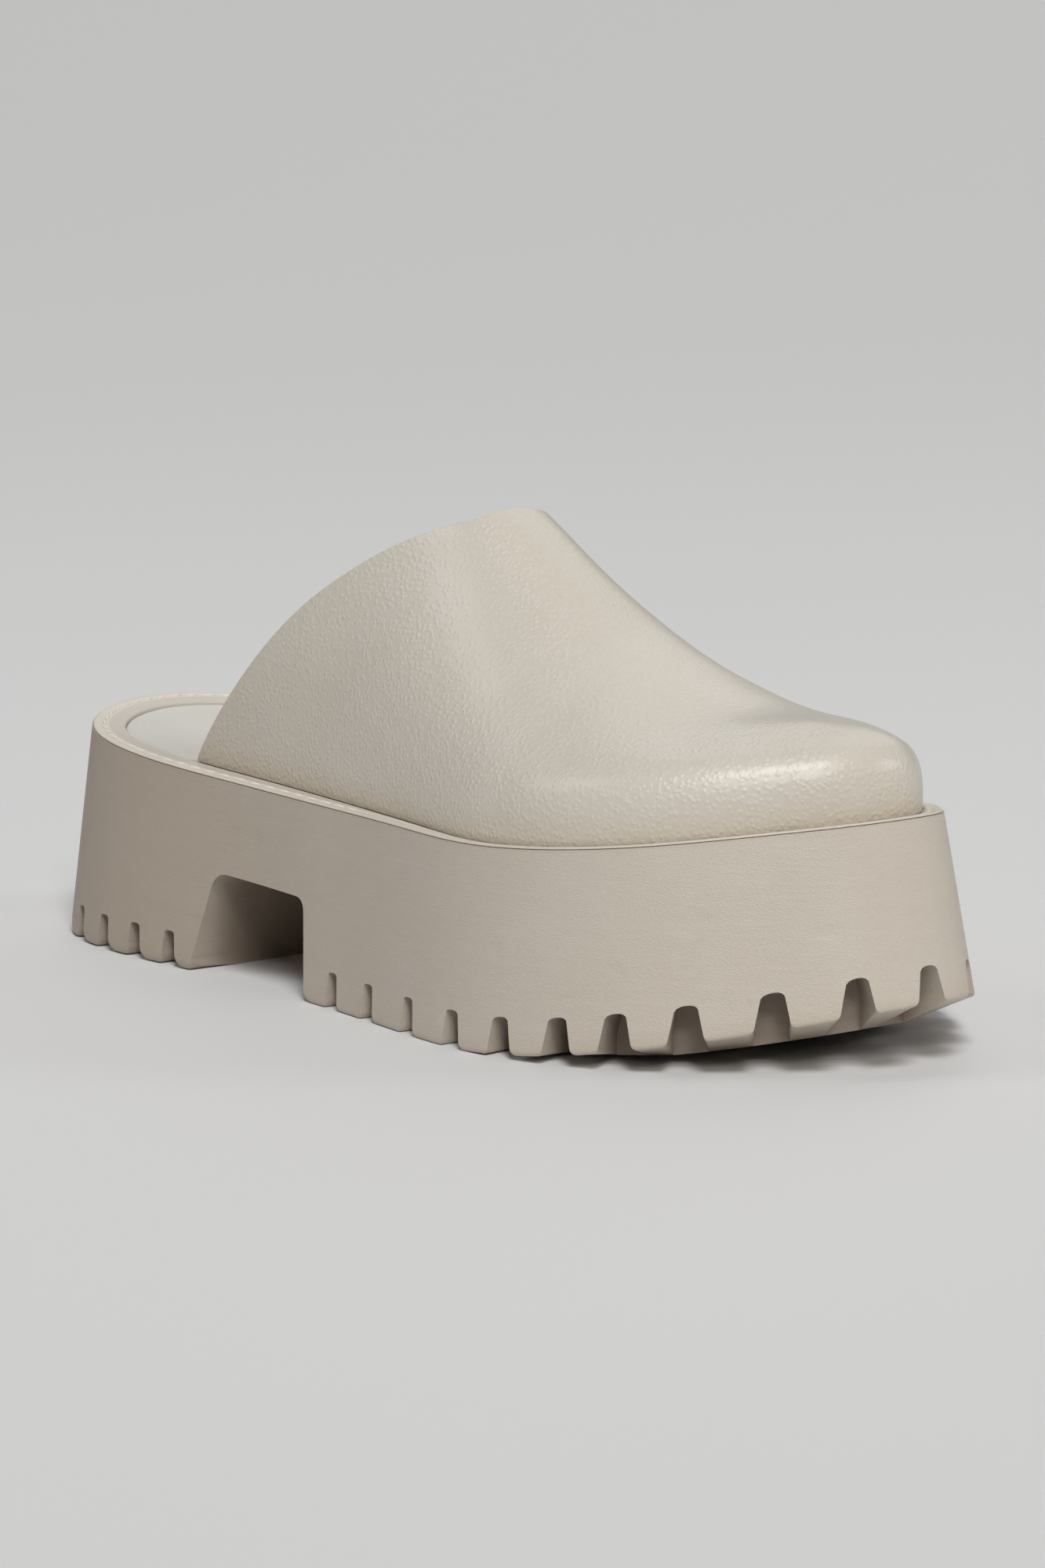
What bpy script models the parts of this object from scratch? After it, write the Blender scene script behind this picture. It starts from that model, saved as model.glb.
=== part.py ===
"""Platform mule, right shoe: a moulded lug platform, a welt strip, an insole and a closed-toe upper.

Metres, +Z up, +X to the toe, +Y to the inner side of the foot. The origin lies on the ground at the
middle of the platform's footprint.
"""
import math
from typing import NamedTuple

import bmesh
import bpy
import numpy as np

# Driving sizes of the last and the platform
RIM_LENGTH = 0.2703
BALL_WIDTH = 0.1071
PLATFORM_HEIGHT = 0.0564
TOE_SPRING = 0.0151
SPRING_START = 0.190
SPRING_POWER = 1.67
FLARE_HEEL = 0.0074
FLARE_SIDE = 0.0043
FLARE_TOE = 0.0081
HEEL_FLARE_POWER = 4.0
TOE_FLARE_POWER = 2.5
EDGE_CHAMFER = 0.0010
TREAD_BEVEL_WIDTH = 0.0110
TREAD_BEVEL = 0.0028
TREAD_BEVEL_SHARE = 0.55

# Welt, insole and the clearance between pieces that meet
GAP = 0.0003
WELT_WIDTH = 0.0085
WELT_THICKNESS = 0.0016
WELT_SETBACK = 0.0004
WELT_ROUND = 0.0005
INSOLE_THICKNESS = 0.0040
INSOLE_SUNK = 0.0010
INSOLE_DISH = 0.0016
INSOLE_SOFT_EDGE = 0.0012
INSOLE_EDGE_DROP = 0.0008
INSOLE_STEP = 0.0080
INSOLE_STEP_LEAD = 0.0088

# Tunnel through the arch, tread channel and notches between the lugs
TUNNEL_REAR = 0.0745
TUNNEL_LENGTH = 0.0488
TUNNEL_HEIGHT = 0.0256
TUNNEL_DROP = 0.0012
TUNNEL_REAR_DRAFT = math.radians(18.5)
TUNNEL_FRONT_DRAFT = math.radians(7.0)
TUNNEL_REAR_RADIUS = 0.0055
TUNNEL_FRONT_RADIUS = 0.0035
LUG_HEIGHT = 0.0089
SIDE_NOTCH_TOP = 0.0037
SIDE_NOTCH_FOOT = 0.0058
TOE_NOTCH_TOP = 0.0050
TOE_NOTCH_FOOT = 0.0088
TOE_NOTCHES_FROM = 0.6
TOE_NOTCHES_FULL = 0.9
NOTCH_ROUND = 0.0013
NOTCH_DEPTH = 0.0130
HEEL_PITCH = 0.0142
HEEL_NOTCHES_A_SIDE = 7
FOREFOOT_PITCH = 0.0176
CHANNEL_WIDTH = 0.018
CHANNEL_DEPTH = 0.0094
CHANNEL_END_MARGIN = 0.030

# Upper: one shell from the collar to the toe
UPPER_WALL = 0.0022
INSTEP_HEIGHT = 0.1220
TOE_BOX_HEIGHT = 0.0200
COLLAR_FOOT = 0.0621
COLLAR_TOP = 0.1479
COLLAR_SWING = -0.0020
SPINE_SETBACK = 0.0300
SKIRT = 0.0030
COLLAR_LEAN = 2.4
TOE_LEAN = 1.28
COLLAR_SLANT = 0.55

# Mesh density
RING_POINTS = 120
UPPER_ROWS = 10
COLLAR_CLEAR = 0.0020
EVEN_SPINE = 0.15
INSOLE_COLUMNS = 6
INSOLE_DISH_ROWS = 6
CHANNEL_ROWS = 13
WALL_ROWS = 3


class Station(NamedTuple):
    """One section of the last, from heel to toe; every length is a share of a named size."""

    along: float  # of RIM_LENGTH, from the back of the heel
    outer: float  # of BALL_WIDTH, from the foot's line to the outer edge
    inner: float  # of BALL_WIDTH, from the foot's line to the inner edge
    rim: float    # of PLATFORM_HEIGHT, top of the welt above the ground
    welt: float   # of WELT_WIDTH


STATIONS = (
    Station(0.000, 0.000, 0.000, 1.000, 1.00),
    Station(0.060, 0.302, 0.302, 0.957, 1.00),
    Station(0.182, 0.396, 0.384, 0.897, 1.00),
    Station(0.350, 0.405, 0.375, 0.855, 0.95),
    Station(0.573, 0.469, 0.433, 0.844, 0.62),
    Station(0.721, 0.506, 0.494, 0.849, 0.34),
    Station(0.860, 0.400, 0.459, 0.908, 0.36),
    Station(0.947, 0.201, 0.299, 0.970, 0.55),
    Station(0.990, 0.058, 0.180, 1.004, 0.66),
    Station(1.000, -0.068, 0.068, 1.012, 0.70),
)

# Steps between the forefoot's notches, from the toe's tip back to the arch, as shares of FOREFOOT_PITCH
NOTCH_STEPS = (1.11, 1.10, 1.11, 0.94, 0.84, 0.92, 0.92, 1.03, 1.05, 0.93)


class Crown(NamedTuple):
    """The upper's form at one section; the columns are shares of named sizes or plain exponents."""

    along: float     # of RIM_LENGTH, from the back of the heel
    crown: float     # of INSTEP_HEIGHT, ridge above the ground
    shoulder: float  # of TOE_BOX_HEIGHT, height of the boxy side above the welt
    box: float       # exponent of the side's rounding, larger is squarer
    spread: float    # exponent of the central hump, larger is narrower


CROWNS = (
    Crown(0.20, 1.174, 0.90, 2.17, 0.44),
    Crown(0.40, 1.098, 0.90, 2.18, 0.47),
    Crown(0.53, 0.986, 0.95, 2.41, 0.57),
    Crown(0.64, 0.826, 0.99, 2.68, 0.87),
    Crown(0.72, 0.711, 1.05, 3.00, 1.23),
    Crown(0.80, 0.632, 1.09, 3.37, 1.62),
    Crown(0.90, 0.623, 1.11, 3.53, 1.81),
    Crown(1.00, 0.636, 1.05, 3.65, 2.00),
)


def follow(rows, column, along):
    """Smooth curve through one column of a table, straight on past its ends."""
    xs = np.array([row.along for row in rows])
    ys = np.array([getattr(row, column) for row in rows])
    slope = np.gradient(ys, xs)
    at = np.atleast_1d(np.asarray(along, float))
    low = np.clip(np.searchsorted(xs, at) - 1, 0, len(xs) - 2)
    step = xs[low + 1] - xs[low]
    t = np.clip((at - xs[low]) / step, 0.0, 1.0)
    value = ((2 * t**3 - 3 * t**2 + 1) * ys[low] + (t**3 - 2 * t**2 + t) * step * slope[low]
             + (3 * t**2 - 2 * t**3) * ys[low + 1] + (t**3 - t**2) * step * slope[low + 1])
    value += np.minimum(at - xs[0], 0.0) * slope[0] + np.maximum(at - xs[-1], 0.0) * slope[-1]
    return value if np.ndim(along) else float(value[0])


def closed_curve(points, count):
    """Cubic through a closed ring of points, sampled at even lengths from its first point."""
    ring = np.asarray(points, float)
    size = len(ring)
    chord = np.hypot(*(np.roll(ring, -1, 0) - ring).T) ** 0.5
    before = np.roll(chord, 1)
    matrix = np.zeros((size, size))
    right = np.zeros((size, 2))
    for i in range(size):
        back, ahead = (i - 1) % size, (i + 1) % size
        matrix[i, back] += 1.0 / before[i]
        matrix[i, i] += 2.0 / before[i] + 2.0 / chord[i]
        matrix[i, ahead] += 1.0 / chord[i]
        right[i] = 3.0 * ((ring[i] - ring[back]) / before[i]**2 + (ring[ahead] - ring[i]) / chord[i]**2)
    slope = np.linalg.solve(matrix, right)
    dense = []
    for i in range(size):
        ahead = (i + 1) % size
        t = np.linspace(0.0, 1.0, 60, endpoint=False)[:, None]
        dense.append((2 * t**3 - 3 * t**2 + 1) * ring[i] + (t**3 - 2 * t**2 + t) * chord[i] * slope[i]
                     + (3 * t**2 - 2 * t**3) * ring[ahead] + (t**3 - t**2) * chord[i] * slope[ahead])
    dense = np.vstack(dense + [ring[:1]])
    return even_lengths(dense, count)


def even_lengths(dense, count):
    """Points at even lengths along a closed polyline whose last point repeats its first."""
    length = np.r_[0.0, np.cumsum(np.hypot(*np.diff(dense, axis=0).T))]
    at = np.linspace(0.0, length[-1], count, endpoint=False)
    return np.stack([np.interp(at, length, dense[:, k]) for k in (0, 1)], 1)


def outward(ring):
    """Unit normals of a ring that runs from the heel along the outer side."""
    tangent = np.roll(ring, -1, 0) - np.roll(ring, 1, 0)
    tangent /= np.hypot(*tangent.T)[:, None]
    return np.stack([tangent[:, 1], -tangent[:, 0]], 1)


def rim_ring():
    """Plan outline of the rim, from the back of the heel along the outer side, not yet centred."""
    outer = [(row.along * RIM_LENGTH, -row.outer * BALL_WIDTH) for row in STATIONS]
    inner = [(row.along * RIM_LENGTH, row.inner * BALL_WIDTH) for row in STATIONS[1:-1]]
    return closed_curve(outer + inner[::-1], RING_POINTS)


def flare(along):
    """How far the foot of the wall stands out past the rim."""
    side = 2.0 * along - 1.0
    heel = (FLARE_HEEL - FLARE_SIDE) * np.clip(-side, 0.0, 1.0) ** HEEL_FLARE_POWER
    toe = (FLARE_TOE - FLARE_SIDE) * np.clip(side, 0.0, 1.0) ** TOE_FLARE_POWER
    return FLARE_SIDE + heel + toe


RIM = rim_ring()
RIM_NORMAL = outward(RIM)
FOOT = RIM + RIM_NORMAL * flare(RIM[:, 0] / RIM_LENGTH)[:, None]
CENTRE = (FOOT.min(0) + FOOT.max(0)) / 2.0
RIM -= CENTRE
FOOT -= CENTRE
HEEL_BACK = -CENTRE[0]
SPRING_TIP = float(FOOT[:, 0].max())
SPRING_FROM = HEEL_BACK + SPRING_START


def share(x):
    """Share of the rim's length at a place along the shoe."""
    return (np.asarray(x) - HEEL_BACK) / RIM_LENGTH


def rim_height(x):
    """Height of the welt's top."""
    return PLATFORM_HEIGHT * follow(STATIONS, "rim", share(x))


def ledge_height(x):
    """Height of the platform's top, on which welt, insole and upper stand."""
    return rim_height(x) - WELT_THICKNESS


def ground_height(x):
    """Height of the tread, which lifts towards the toe."""
    lift = np.clip((np.asarray(x) - SPRING_FROM) / (SPRING_TIP - SPRING_FROM), 0.0, None)
    return TOE_SPRING * lift**SPRING_POWER


def tread_height(x):
    """Height of the tread inside its bevelled edge, which shows under the toe's lugs."""
    ground = ground_height(x)
    return ground - np.minimum(TREAD_BEVEL, TREAD_BEVEL_SHARE * ground)


def inset(width):
    """The rim's outline moved inwards by a width, one value or one for each point."""
    return RIM - RIM_NORMAL * np.reshape(width, (-1, 1))


WELT_BAND = WELT_WIDTH * follow(STATIONS, "welt", share(RIM[:, 0]))
FEATHER = inset(WELT_BAND + GAP)
COLLAR_X = HEEL_BACK + COLLAR_FOOT


def insole_inset():
    """Inset of the insole's edge: beside the welt at the open heel, inside the upper further on."""
    clear = np.clip((RIM[:, 0] - COLLAR_X + INSOLE_STEP_LEAD) / INSOLE_STEP, 0.0, 1.0)
    return WELT_BAND + GAP + (UPPER_WALL + GAP) * clear * clear * (3.0 - 2.0 * clear)


def level(ring, height):
    """Ring points with a height added, given by a function of x."""
    return np.column_stack([ring, height(ring[:, 0])])


def new_object(name, mesh_data, collection, material=None):
    """Object for a bmesh, linked to its collection."""
    mesh = bpy.data.meshes.new(name)
    mesh_data.to_mesh(mesh)
    mesh_data.free()
    thing = bpy.data.objects.new(name, mesh)
    collection.objects.link(thing)
    if material:
        mesh.materials.append(material)
    return thing


def band(work, lower, upper):
    """Quads between two closed rings of vertices, facing outwards when upper is above lower."""
    size = len(lower)
    for i in range(size):
        j = (i + 1) % size
        work.faces.new((lower[i], lower[j], upper[j], upper[i]))


def cap(work, ring, up):
    """Ladder of faces across a closed ring, from the heel's point to the toe's."""
    half = len(ring) // 2
    for i in range(half):
        near, far = ring[i], ring[-i]
        next_near, next_far = ring[i + 1], ring[-i - 1]
        corners = [near, next_near, next_far, far]
        unique = [v for k, v in enumerate(corners) if v not in corners[:k]]
        work.faces.new(unique if up else unique[::-1])


def lofted(rings):
    """Closed bmesh through rings listed from the bottom's edge, up the outside, to the top's edge."""
    work = bmesh.new()
    made = [[work.verts.new(point) for point in ring] for ring in rings]
    for lower, upper in zip(made, made[1:]):
        band(work, lower, upper)
    cap(work, made[0], up=False)
    cap(work, made[-1], up=True)
    return work


def subtract(thing, cutter, name):
    """Live EXACT difference of one object by another."""
    cut = thing.modifiers.new(name, "BOOLEAN")
    cut.operation = "DIFFERENCE"
    cut.solver = "EXACT"
    cut.object = cutter


def as_cutter(thing):
    """Mark an object as a tool that isn't part of the shoe."""
    thing.hide_render = True
    thing.display_type = "WIRE"
    return thing


def rounded_corner(before, corner, after, radius, steps=4):
    """Points of an arc that rounds one corner of a flat outline."""
    before, corner, after = (np.asarray(p, float) for p in (before, corner, after))
    back = (before - corner) / np.linalg.norm(before - corner)
    ahead = (after - corner) / np.linalg.norm(after - corner)
    half = math.acos(float(np.clip(back @ ahead, -1.0, 1.0))) / 2.0
    middle = (back + ahead) / np.linalg.norm(back + ahead)
    centre = corner + middle * radius / math.sin(half)
    start = corner + back * radius / math.tan(half) - centre
    end = corner + ahead * radius / math.tan(half) - centre
    turn = math.atan2(start[0] * end[1] - start[1] * end[0], start @ end)
    arc = []
    for k in range(steps + 1):
        angle = turn * k / steps
        arc.append(centre + (start[0] * math.cos(angle) - start[1] * math.sin(angle),
                             start[0] * math.sin(angle) + start[1] * math.cos(angle)))
    return arc


def prism(work, outline, place, near, far):
    """Extrude a flat outline between two depths; place turns (across, up, depth) into a point."""
    first = [work.verts.new(place(a, u, near)) for a, u in outline]
    last = [work.verts.new(place(a, u, far)) for a, u in outline]
    faces = [work.faces.new(first), work.faces.new(last[::-1])]
    for i in range(len(outline)):
        j = (i + 1) % len(outline)
        faces.append(work.faces.new((first[j], first[i], last[i], last[j])))
    bmesh.ops.recalc_face_normals(work, faces=faces)


def tunnel_cutter(tools):
    """Drafted tunnel that runs right across the arch."""
    below = -0.01
    rear_foot = HEEL_BACK + TUNNEL_REAR
    front_foot = rear_foot + TUNNEL_LENGTH
    front_roof = TUNNEL_HEIGHT - TUNNEL_DROP
    rear_slope = math.tan(TUNNEL_REAR_DRAFT)
    front_slope = math.tan(TUNNEL_FRONT_DRAFT)
    rear_low = (rear_foot + rear_slope * below, below)
    rear_top = (rear_foot + rear_slope * TUNNEL_HEIGHT, TUNNEL_HEIGHT)
    front_top = (front_foot - front_slope * front_roof, front_roof)
    front_low = (front_foot - front_slope * below, below)
    outline = [rear_low]
    outline += rounded_corner(rear_low, rear_top, front_top, TUNNEL_REAR_RADIUS)
    outline += rounded_corner(rear_top, front_top, front_low, TUNNEL_FRONT_RADIUS)
    outline += [front_low]
    work = bmesh.new()
    prism(work, outline, lambda a, u, d: (a, d, u), -BALL_WIDTH, BALL_WIDTH)
    return as_cutter(new_object("tunnel_tool", work, tools))


def notch_places():
    """Lengths along the wall's foot, from the back of the heel, at which the notches stand."""
    places = [HEEL_PITCH * k for k in range(-HEEL_NOTCHES_A_SIDE, HEEL_NOTCHES_A_SIDE + 1)]
    tip = foot_length() * int(np.argmax(FOOT[:, 0])) / RING_POINTS
    places.append(tip)
    for side in (-1, 1):
        away = 0.0
        for step in NOTCH_STEPS:
            away += step * FOREFOOT_PITCH
            places.append(tip + side * away)
    return places


def foot_length():
    """Length of the wall's foot, all the way round."""
    return float(np.hypot(*(np.roll(FOOT, -1, 0) - FOOT).T).sum())


def foot_at(place):
    """Point of the wall's foot and its outward normal at a length from the back of the heel."""
    closed = np.vstack([FOOT, FOOT[:1]])
    length = np.r_[0.0, np.cumsum(np.hypot(*np.diff(closed, axis=0).T))]
    at = place % length[-1]
    point = np.array([np.interp(at, length, closed[:, k]) for k in (0, 1)])
    normals = outward(FOOT)
    normals = np.vstack([normals, normals[:1]])
    normal = np.array([np.interp(at, length, normals[:, k]) for k in (0, 1)])
    return point, normal / np.hypot(*normal)


def notch_cutter(tools):
    """All the tapered notches between the lugs, as one tool."""
    work = bmesh.new()
    below = -0.004
    reach_out = 0.006
    for place in notch_places():
        point, normal = foot_at(place)
        along = np.array([-normal[1], normal[0]])
        base = float(ground_height(point[0]))
        toe = (share(point[0]) - TOE_NOTCHES_FROM) / (TOE_NOTCHES_FULL - TOE_NOTCHES_FROM)
        toe = float(np.clip(toe, 0.0, 1.0))
        top = (SIDE_NOTCH_TOP + (TOE_NOTCH_TOP - SIDE_NOTCH_TOP) * toe) / 2.0
        foot = (SIDE_NOTCH_FOOT + (TOE_NOTCH_FOOT - SIDE_NOTCH_FOOT) * toe) / 2.0
        low = foot - (foot - top) * below / LUG_HEIGHT
        corners = [(-low, below), (-top, LUG_HEIGHT), (top, LUG_HEIGHT), (low, below)]
        outline = [corners[0]]
        outline += rounded_corner(*corners[0:3], NOTCH_ROUND, steps=2)
        outline += rounded_corner(*corners[1:4], NOTCH_ROUND, steps=2)
        outline += [corners[3]]

        def place_point(across, up, depth, point=point, normal=normal, along=along, base=base):
            spot = point + along * across - normal * depth
            return (spot[0], spot[1], base + up)

        prism(work, outline, place_point, -reach_out, NOTCH_DEPTH)
    return as_cutter(new_object("notch_tool", work, tools))


def channel_cutter(tools):
    """Recess along the middle of the tread, following its lift to the toe."""
    start = float(FOOT[:, 0].min()) + CHANNEL_END_MARGIN
    end = float(FOOT[:, 0].max()) - CHANNEL_END_MARGIN
    below = 0.006
    stops = np.linspace(start, end, CHANNEL_ROWS)
    work = bmesh.new()
    rows = []
    for x in stops:
        base = float(ground_height(x))
        middle = spine_offset(x)
        left, right = middle - CHANNEL_WIDTH / 2.0, middle + CHANNEL_WIDTH / 2.0
        corners = ((left, base - below), (right, base - below), (right, base + CHANNEL_DEPTH),
                   (left, base + CHANNEL_DEPTH))
        rows.append([work.verts.new((x, y, z)) for y, z in corners])
    for first, second in zip(rows, rows[1:]):
        for i in range(4):
            j = (i + 1) % 4
            work.faces.new((first[j], first[i], second[i], second[j]))
    work.faces.new(rows[0])
    work.faces.new(rows[-1][::-1])
    bmesh.ops.recalc_face_normals(work, faces=work.faces[:])
    return as_cutter(new_object("channel_tool", work, tools))


def spine_offset(x):
    """Middle line of the foot, which leans to the inner side at the toe."""
    along = share(x)
    outer = follow(STATIONS, "outer", along)
    inner = follow(STATIONS, "inner", along)
    return BALL_WIDTH * (inner - outer) / 2.0 - CENTRE[1]


def platform(shoe, tools, material):
    """Moulded sole: seat, ledge, flared wall, lugs, tunnel and channel."""
    seat = inset(insole_inset() - GAP)
    seat_floor = INSOLE_SUNK + INSOLE_THICKNESS + GAP
    rim_line = level(RIM, ledge_height)
    chamfer = FOOT - outward(FOOT) * EDGE_CHAMFER
    foot_line = level(FOOT, ground_height) + np.array([0.0, 0.0, EDGE_CHAMFER])
    tread = FOOT - outward(FOOT) * TREAD_BEVEL_WIDTH
    rings = [level(tread, tread_height), level(chamfer, ground_height), foot_line]
    for k in range(1, WALL_ROWS):
        rings.append(foot_line + (rim_line - foot_line) * k / WALL_ROWS)
    rings += [rim_line, level(seat, ledge_height),
              level(seat, lambda x: rim_height(x) - seat_floor)]
    thing = new_object("platform_sole", lofted(rings), shoe, material)
    subtract(thing, tunnel_cutter(tools), "tunnel")
    subtract(thing, channel_cutter(tools), "channel")
    subtract(thing, notch_cutter(tools), "notches")
    return thing


def welt(shoe, material):
    """Flat strip round the platform's top edge."""
    outer = inset(WELT_SETBACK)
    rounded = inset(WELT_SETBACK + WELT_ROUND)
    inner = inset(WELT_BAND)
    bottom = lambda x: ledge_height(x) + GAP
    shoulder = lambda x: rim_height(x) - WELT_ROUND
    work = bmesh.new()
    rings = [level(outer, bottom), level(outer, shoulder), level(rounded, rim_height),
             level(inner, rim_height), level(inner, bottom)]
    made = [[work.verts.new(point) for point in ring] for ring in rings]
    for lower, upper in zip(made, made[1:] + made[:1]):
        band(work, lower, upper)
    return new_object("welt", work, shoe, material)


def insole(shoe, material):
    """Foot bed, with a soft edge and a shallow dish."""
    edge = inset(insole_inset())
    inner = inset(insole_inset() + INSOLE_SOFT_EDGE)
    top = lambda x: rim_height(x) - INSOLE_SUNK
    bottom = lambda x: top(x) - INSOLE_THICKNESS
    shoulder = lambda x: top(x) - INSOLE_EDGE_DROP
    work = bmesh.new()
    rings = [level(edge, bottom), level(edge, shoulder), level(inner, top)]
    made = [[work.verts.new(point) for point in ring] for ring in rings]
    for lower, upper in zip(made, made[1:]):
        band(work, lower, upper)
    cap(work, made[0], up=False)
    dished_top(work, made[-1], top)
    return new_object("insole", work, shoe, material)


def dished_top(work, ring, top):
    """Ladder of faces across the insole's top edge, sunk towards its middle."""
    half = len(ring) // 2
    rows = [[ring[0]]]
    for i in range(1, half):
        near, far = ring[i].co, ring[-i].co
        lateral = np.array([near.x, near.y])
        medial = np.array([far.x, far.y])
        depth = INSOLE_DISH * min(i / INSOLE_DISH_ROWS, (half - i) / INSOLE_DISH_ROWS, 1.0)
        row = [ring[i]]
        for k in range(1, INSOLE_COLUMNS):
            part = k / INSOLE_COLUMNS
            x, y = lateral + (medial - lateral) * part
            sink = depth * (1.0 - (2.0 * part - 1.0) ** 4)
            row.append(work.verts.new((x, y, float(top(x)) - sink)))
        row.append(ring[-i])
        rows.append(row)
    rows.append([ring[half]])
    for first, second in zip(rows, rows[1:]):
        if len(first) == 1:
            for k in range(len(second) - 1):
                work.faces.new((first[0], second[k], second[k + 1]))
        elif len(second) == 1:
            for k in range(len(first) - 1):
                work.faces.new((first[k], second[0], first[k + 1]))
        else:
            for k in range(len(first) - 1):
                work.faces.new((first[k], second[k], second[k + 1], first[k + 1]))


def upper_feet():
    """Points of the feather line from the outer end of the collar, round the toe, to its inner end."""
    quarter = RING_POINTS // 4
    sides = FEATHER[:quarter], np.roll(FEATHER, -1, 0)[::-1][:quarter]
    nearer = np.minimum(sides[0][:, 0], sides[1][:, 0])
    first = int(np.argmax(nearer > COLLAR_X + COLLAR_CLEAR))
    outer_end, inner_end = ((COLLAR_X, np.interp(COLLAR_X, *side.T)) for side in sides)
    return np.vstack([outer_end, FEATHER[first:RING_POINTS - first + 1], inner_end])


def spine_shares(feet):
    """How far along the spine each foot point's line ends: 0 at the collar, 1 at the toe."""
    middle = (len(feet) - 1) / 2.0
    steps = 1.0 - np.abs(np.arange(len(feet)) - middle) / middle
    reach = np.maximum.accumulate((feet[:, 0] + feet[::-1, 0])[:len(feet) // 2 + 1])
    reach = np.r_[reach, reach[::-1][len(reach) * 2 - len(feet):]]
    reach = (reach - reach.min()) / (reach.max() - reach.min())
    return (1.0 - EVEN_SPINE) * reach + EVEN_SPINE * steps


def upper_surface():
    """Outside of the upper: for each foot point a line of points up to the spine, foot first."""
    feet = upper_feet()
    part = spine_shares(feet)[:, None]
    top_x = HEEL_BACK + COLLAR_TOP
    front_x = HEEL_BACK + RIM_LENGTH - SPINE_SETBACK
    anchor_x = top_x + (front_x - top_x) * part
    anchor_y = spine_offset(anchor_x.ravel())[:, None] + COLLAR_SWING * (1.0 - part)

    rise = np.linspace(1.0, 0.0, UPPER_ROWS + 1)[None, :]
    turn = rise * math.pi / 2.0
    box = follow(CROWNS, "box", share(anchor_x.ravel()))[:, None]
    out = np.sin(turn) ** (2.0 / box)
    lean = COLLAR_LEAN + (TOE_LEAN - COLLAR_LEAN) * part
    slant = COLLAR_SLANT * (1.0 - part) ** 2
    slide = slant * rise**lean + (1.0 - slant) * out**lean
    x = anchor_x + (feet[:, :1] - anchor_x) * slide
    y = anchor_y + (feet[:, 1:] - anchor_y) * out

    def at(column):
        return follow(CROWNS, column, share(x.ravel())).reshape(x.shape)

    base = rim_height(x.ravel()).reshape(x.shape)
    shoulder = TOE_BOX_HEIGHT * at("shoulder")
    side = shoulder * np.clip(np.cos(turn), 0.0, 1.0) ** (2.0 / box)
    hump = (INSTEP_HEIGHT * at("crown") - base - shoulder) * np.clip(1.0 - out**2, 0.0, 1.0) ** at("spread")
    return np.stack([x, y, base + side + hump], -1)


def upper(shoe, tools, material):
    """Closed-toe shell, trimmed level with the platform's ledge."""
    work = bmesh.new()
    surface = upper_surface()
    count = len(surface)
    columns = []
    for line in surface:
        x, y, _ = line[0]
        skirt = work.verts.new((x, y, float(ledge_height(x)) - SKIRT))
        columns.append([skirt] + [work.verts.new(point) for point in line[:-1]])
    spine = [work.verts.new(surface[m][-1]) for m in range(count // 2 + 1)]
    for m, column in enumerate(columns):
        column.append(spine[min(m, count - 1 - m)])
    for left, right in zip(columns, columns[1:]):
        for k in range(len(left) - 1):
            corners = [left[k], right[k], right[k + 1], left[k + 1]]
            unique = [v for n, v in enumerate(corners) if v not in corners[:n]]
            work.faces.new(unique)
    thing = new_object("upper", work, shoe, material)
    wall = thing.modifiers.new("wall", "SOLIDIFY")
    wall.thickness = UPPER_WALL
    wall.offset = -1.0
    wall.use_even_offset = True
    subtract(thing, ledge_cutter(tools), "feather_line")
    return thing


def ledge_cutter(tools):
    """Block whose top follows the platform's ledge, a gap above it."""
    rings = [level(RIM, lambda x: 0.0 * x), level(RIM, lambda x: ledge_height(x) + GAP)]
    return as_cutter(new_object("ledge_tool", lofted(rings), tools))


def finish(name, colour, roughness):
    """Plain material with the photograph's colour."""
    material = bpy.data.materials.new(name)
    material.use_nodes = True
    shader = material.node_tree.nodes["Principled BSDF"]
    shader.inputs["Base Color"].default_value = (*colour, 1.0)
    shader.inputs["Roughness"].default_value = roughness
    shader.inputs["Metallic"].default_value = 0.0
    return material


def main():
    """Clear the scene and build the shoe."""
    for thing in list(bpy.data.objects):
        bpy.data.objects.remove(thing, do_unlink=True)
    shoe = bpy.data.collections.new("platform_mule")
    tools = bpy.data.collections.new("cutters")
    for collection in (shoe, tools):
        bpy.context.scene.collection.children.link(collection)
    platform(shoe, tools, finish("moulded_cream", (0.62, 0.55, 0.45), 0.55))
    welt(shoe, finish("welt_cream", (0.70, 0.63, 0.52), 0.50))
    insole(shoe, finish("insole_white", (0.66, 0.65, 0.60), 0.60))
    upper(shoe, tools, finish("grained_cream", (0.64, 0.57, 0.47), 0.45))
    for thing in shoe.objects:
        thing.data.shade_smooth()
        thing.data.set_sharp_from_angle(angle=math.radians(35.0))


main()
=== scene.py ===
"""Platform mule, right shoe: the dressed model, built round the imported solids.

Metres, +Z up, +X to the toe, +Y to the inner side of the foot. The origin lies on the ground at the
middle of the sole's footprint.
"""

import logging
import math
from dataclasses import dataclass, field
from enum import Enum
from typing import Callable, NamedTuple, Sequence

import bmesh
import bpy
import numpy as np
from mathutils import Matrix, Vector


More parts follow.
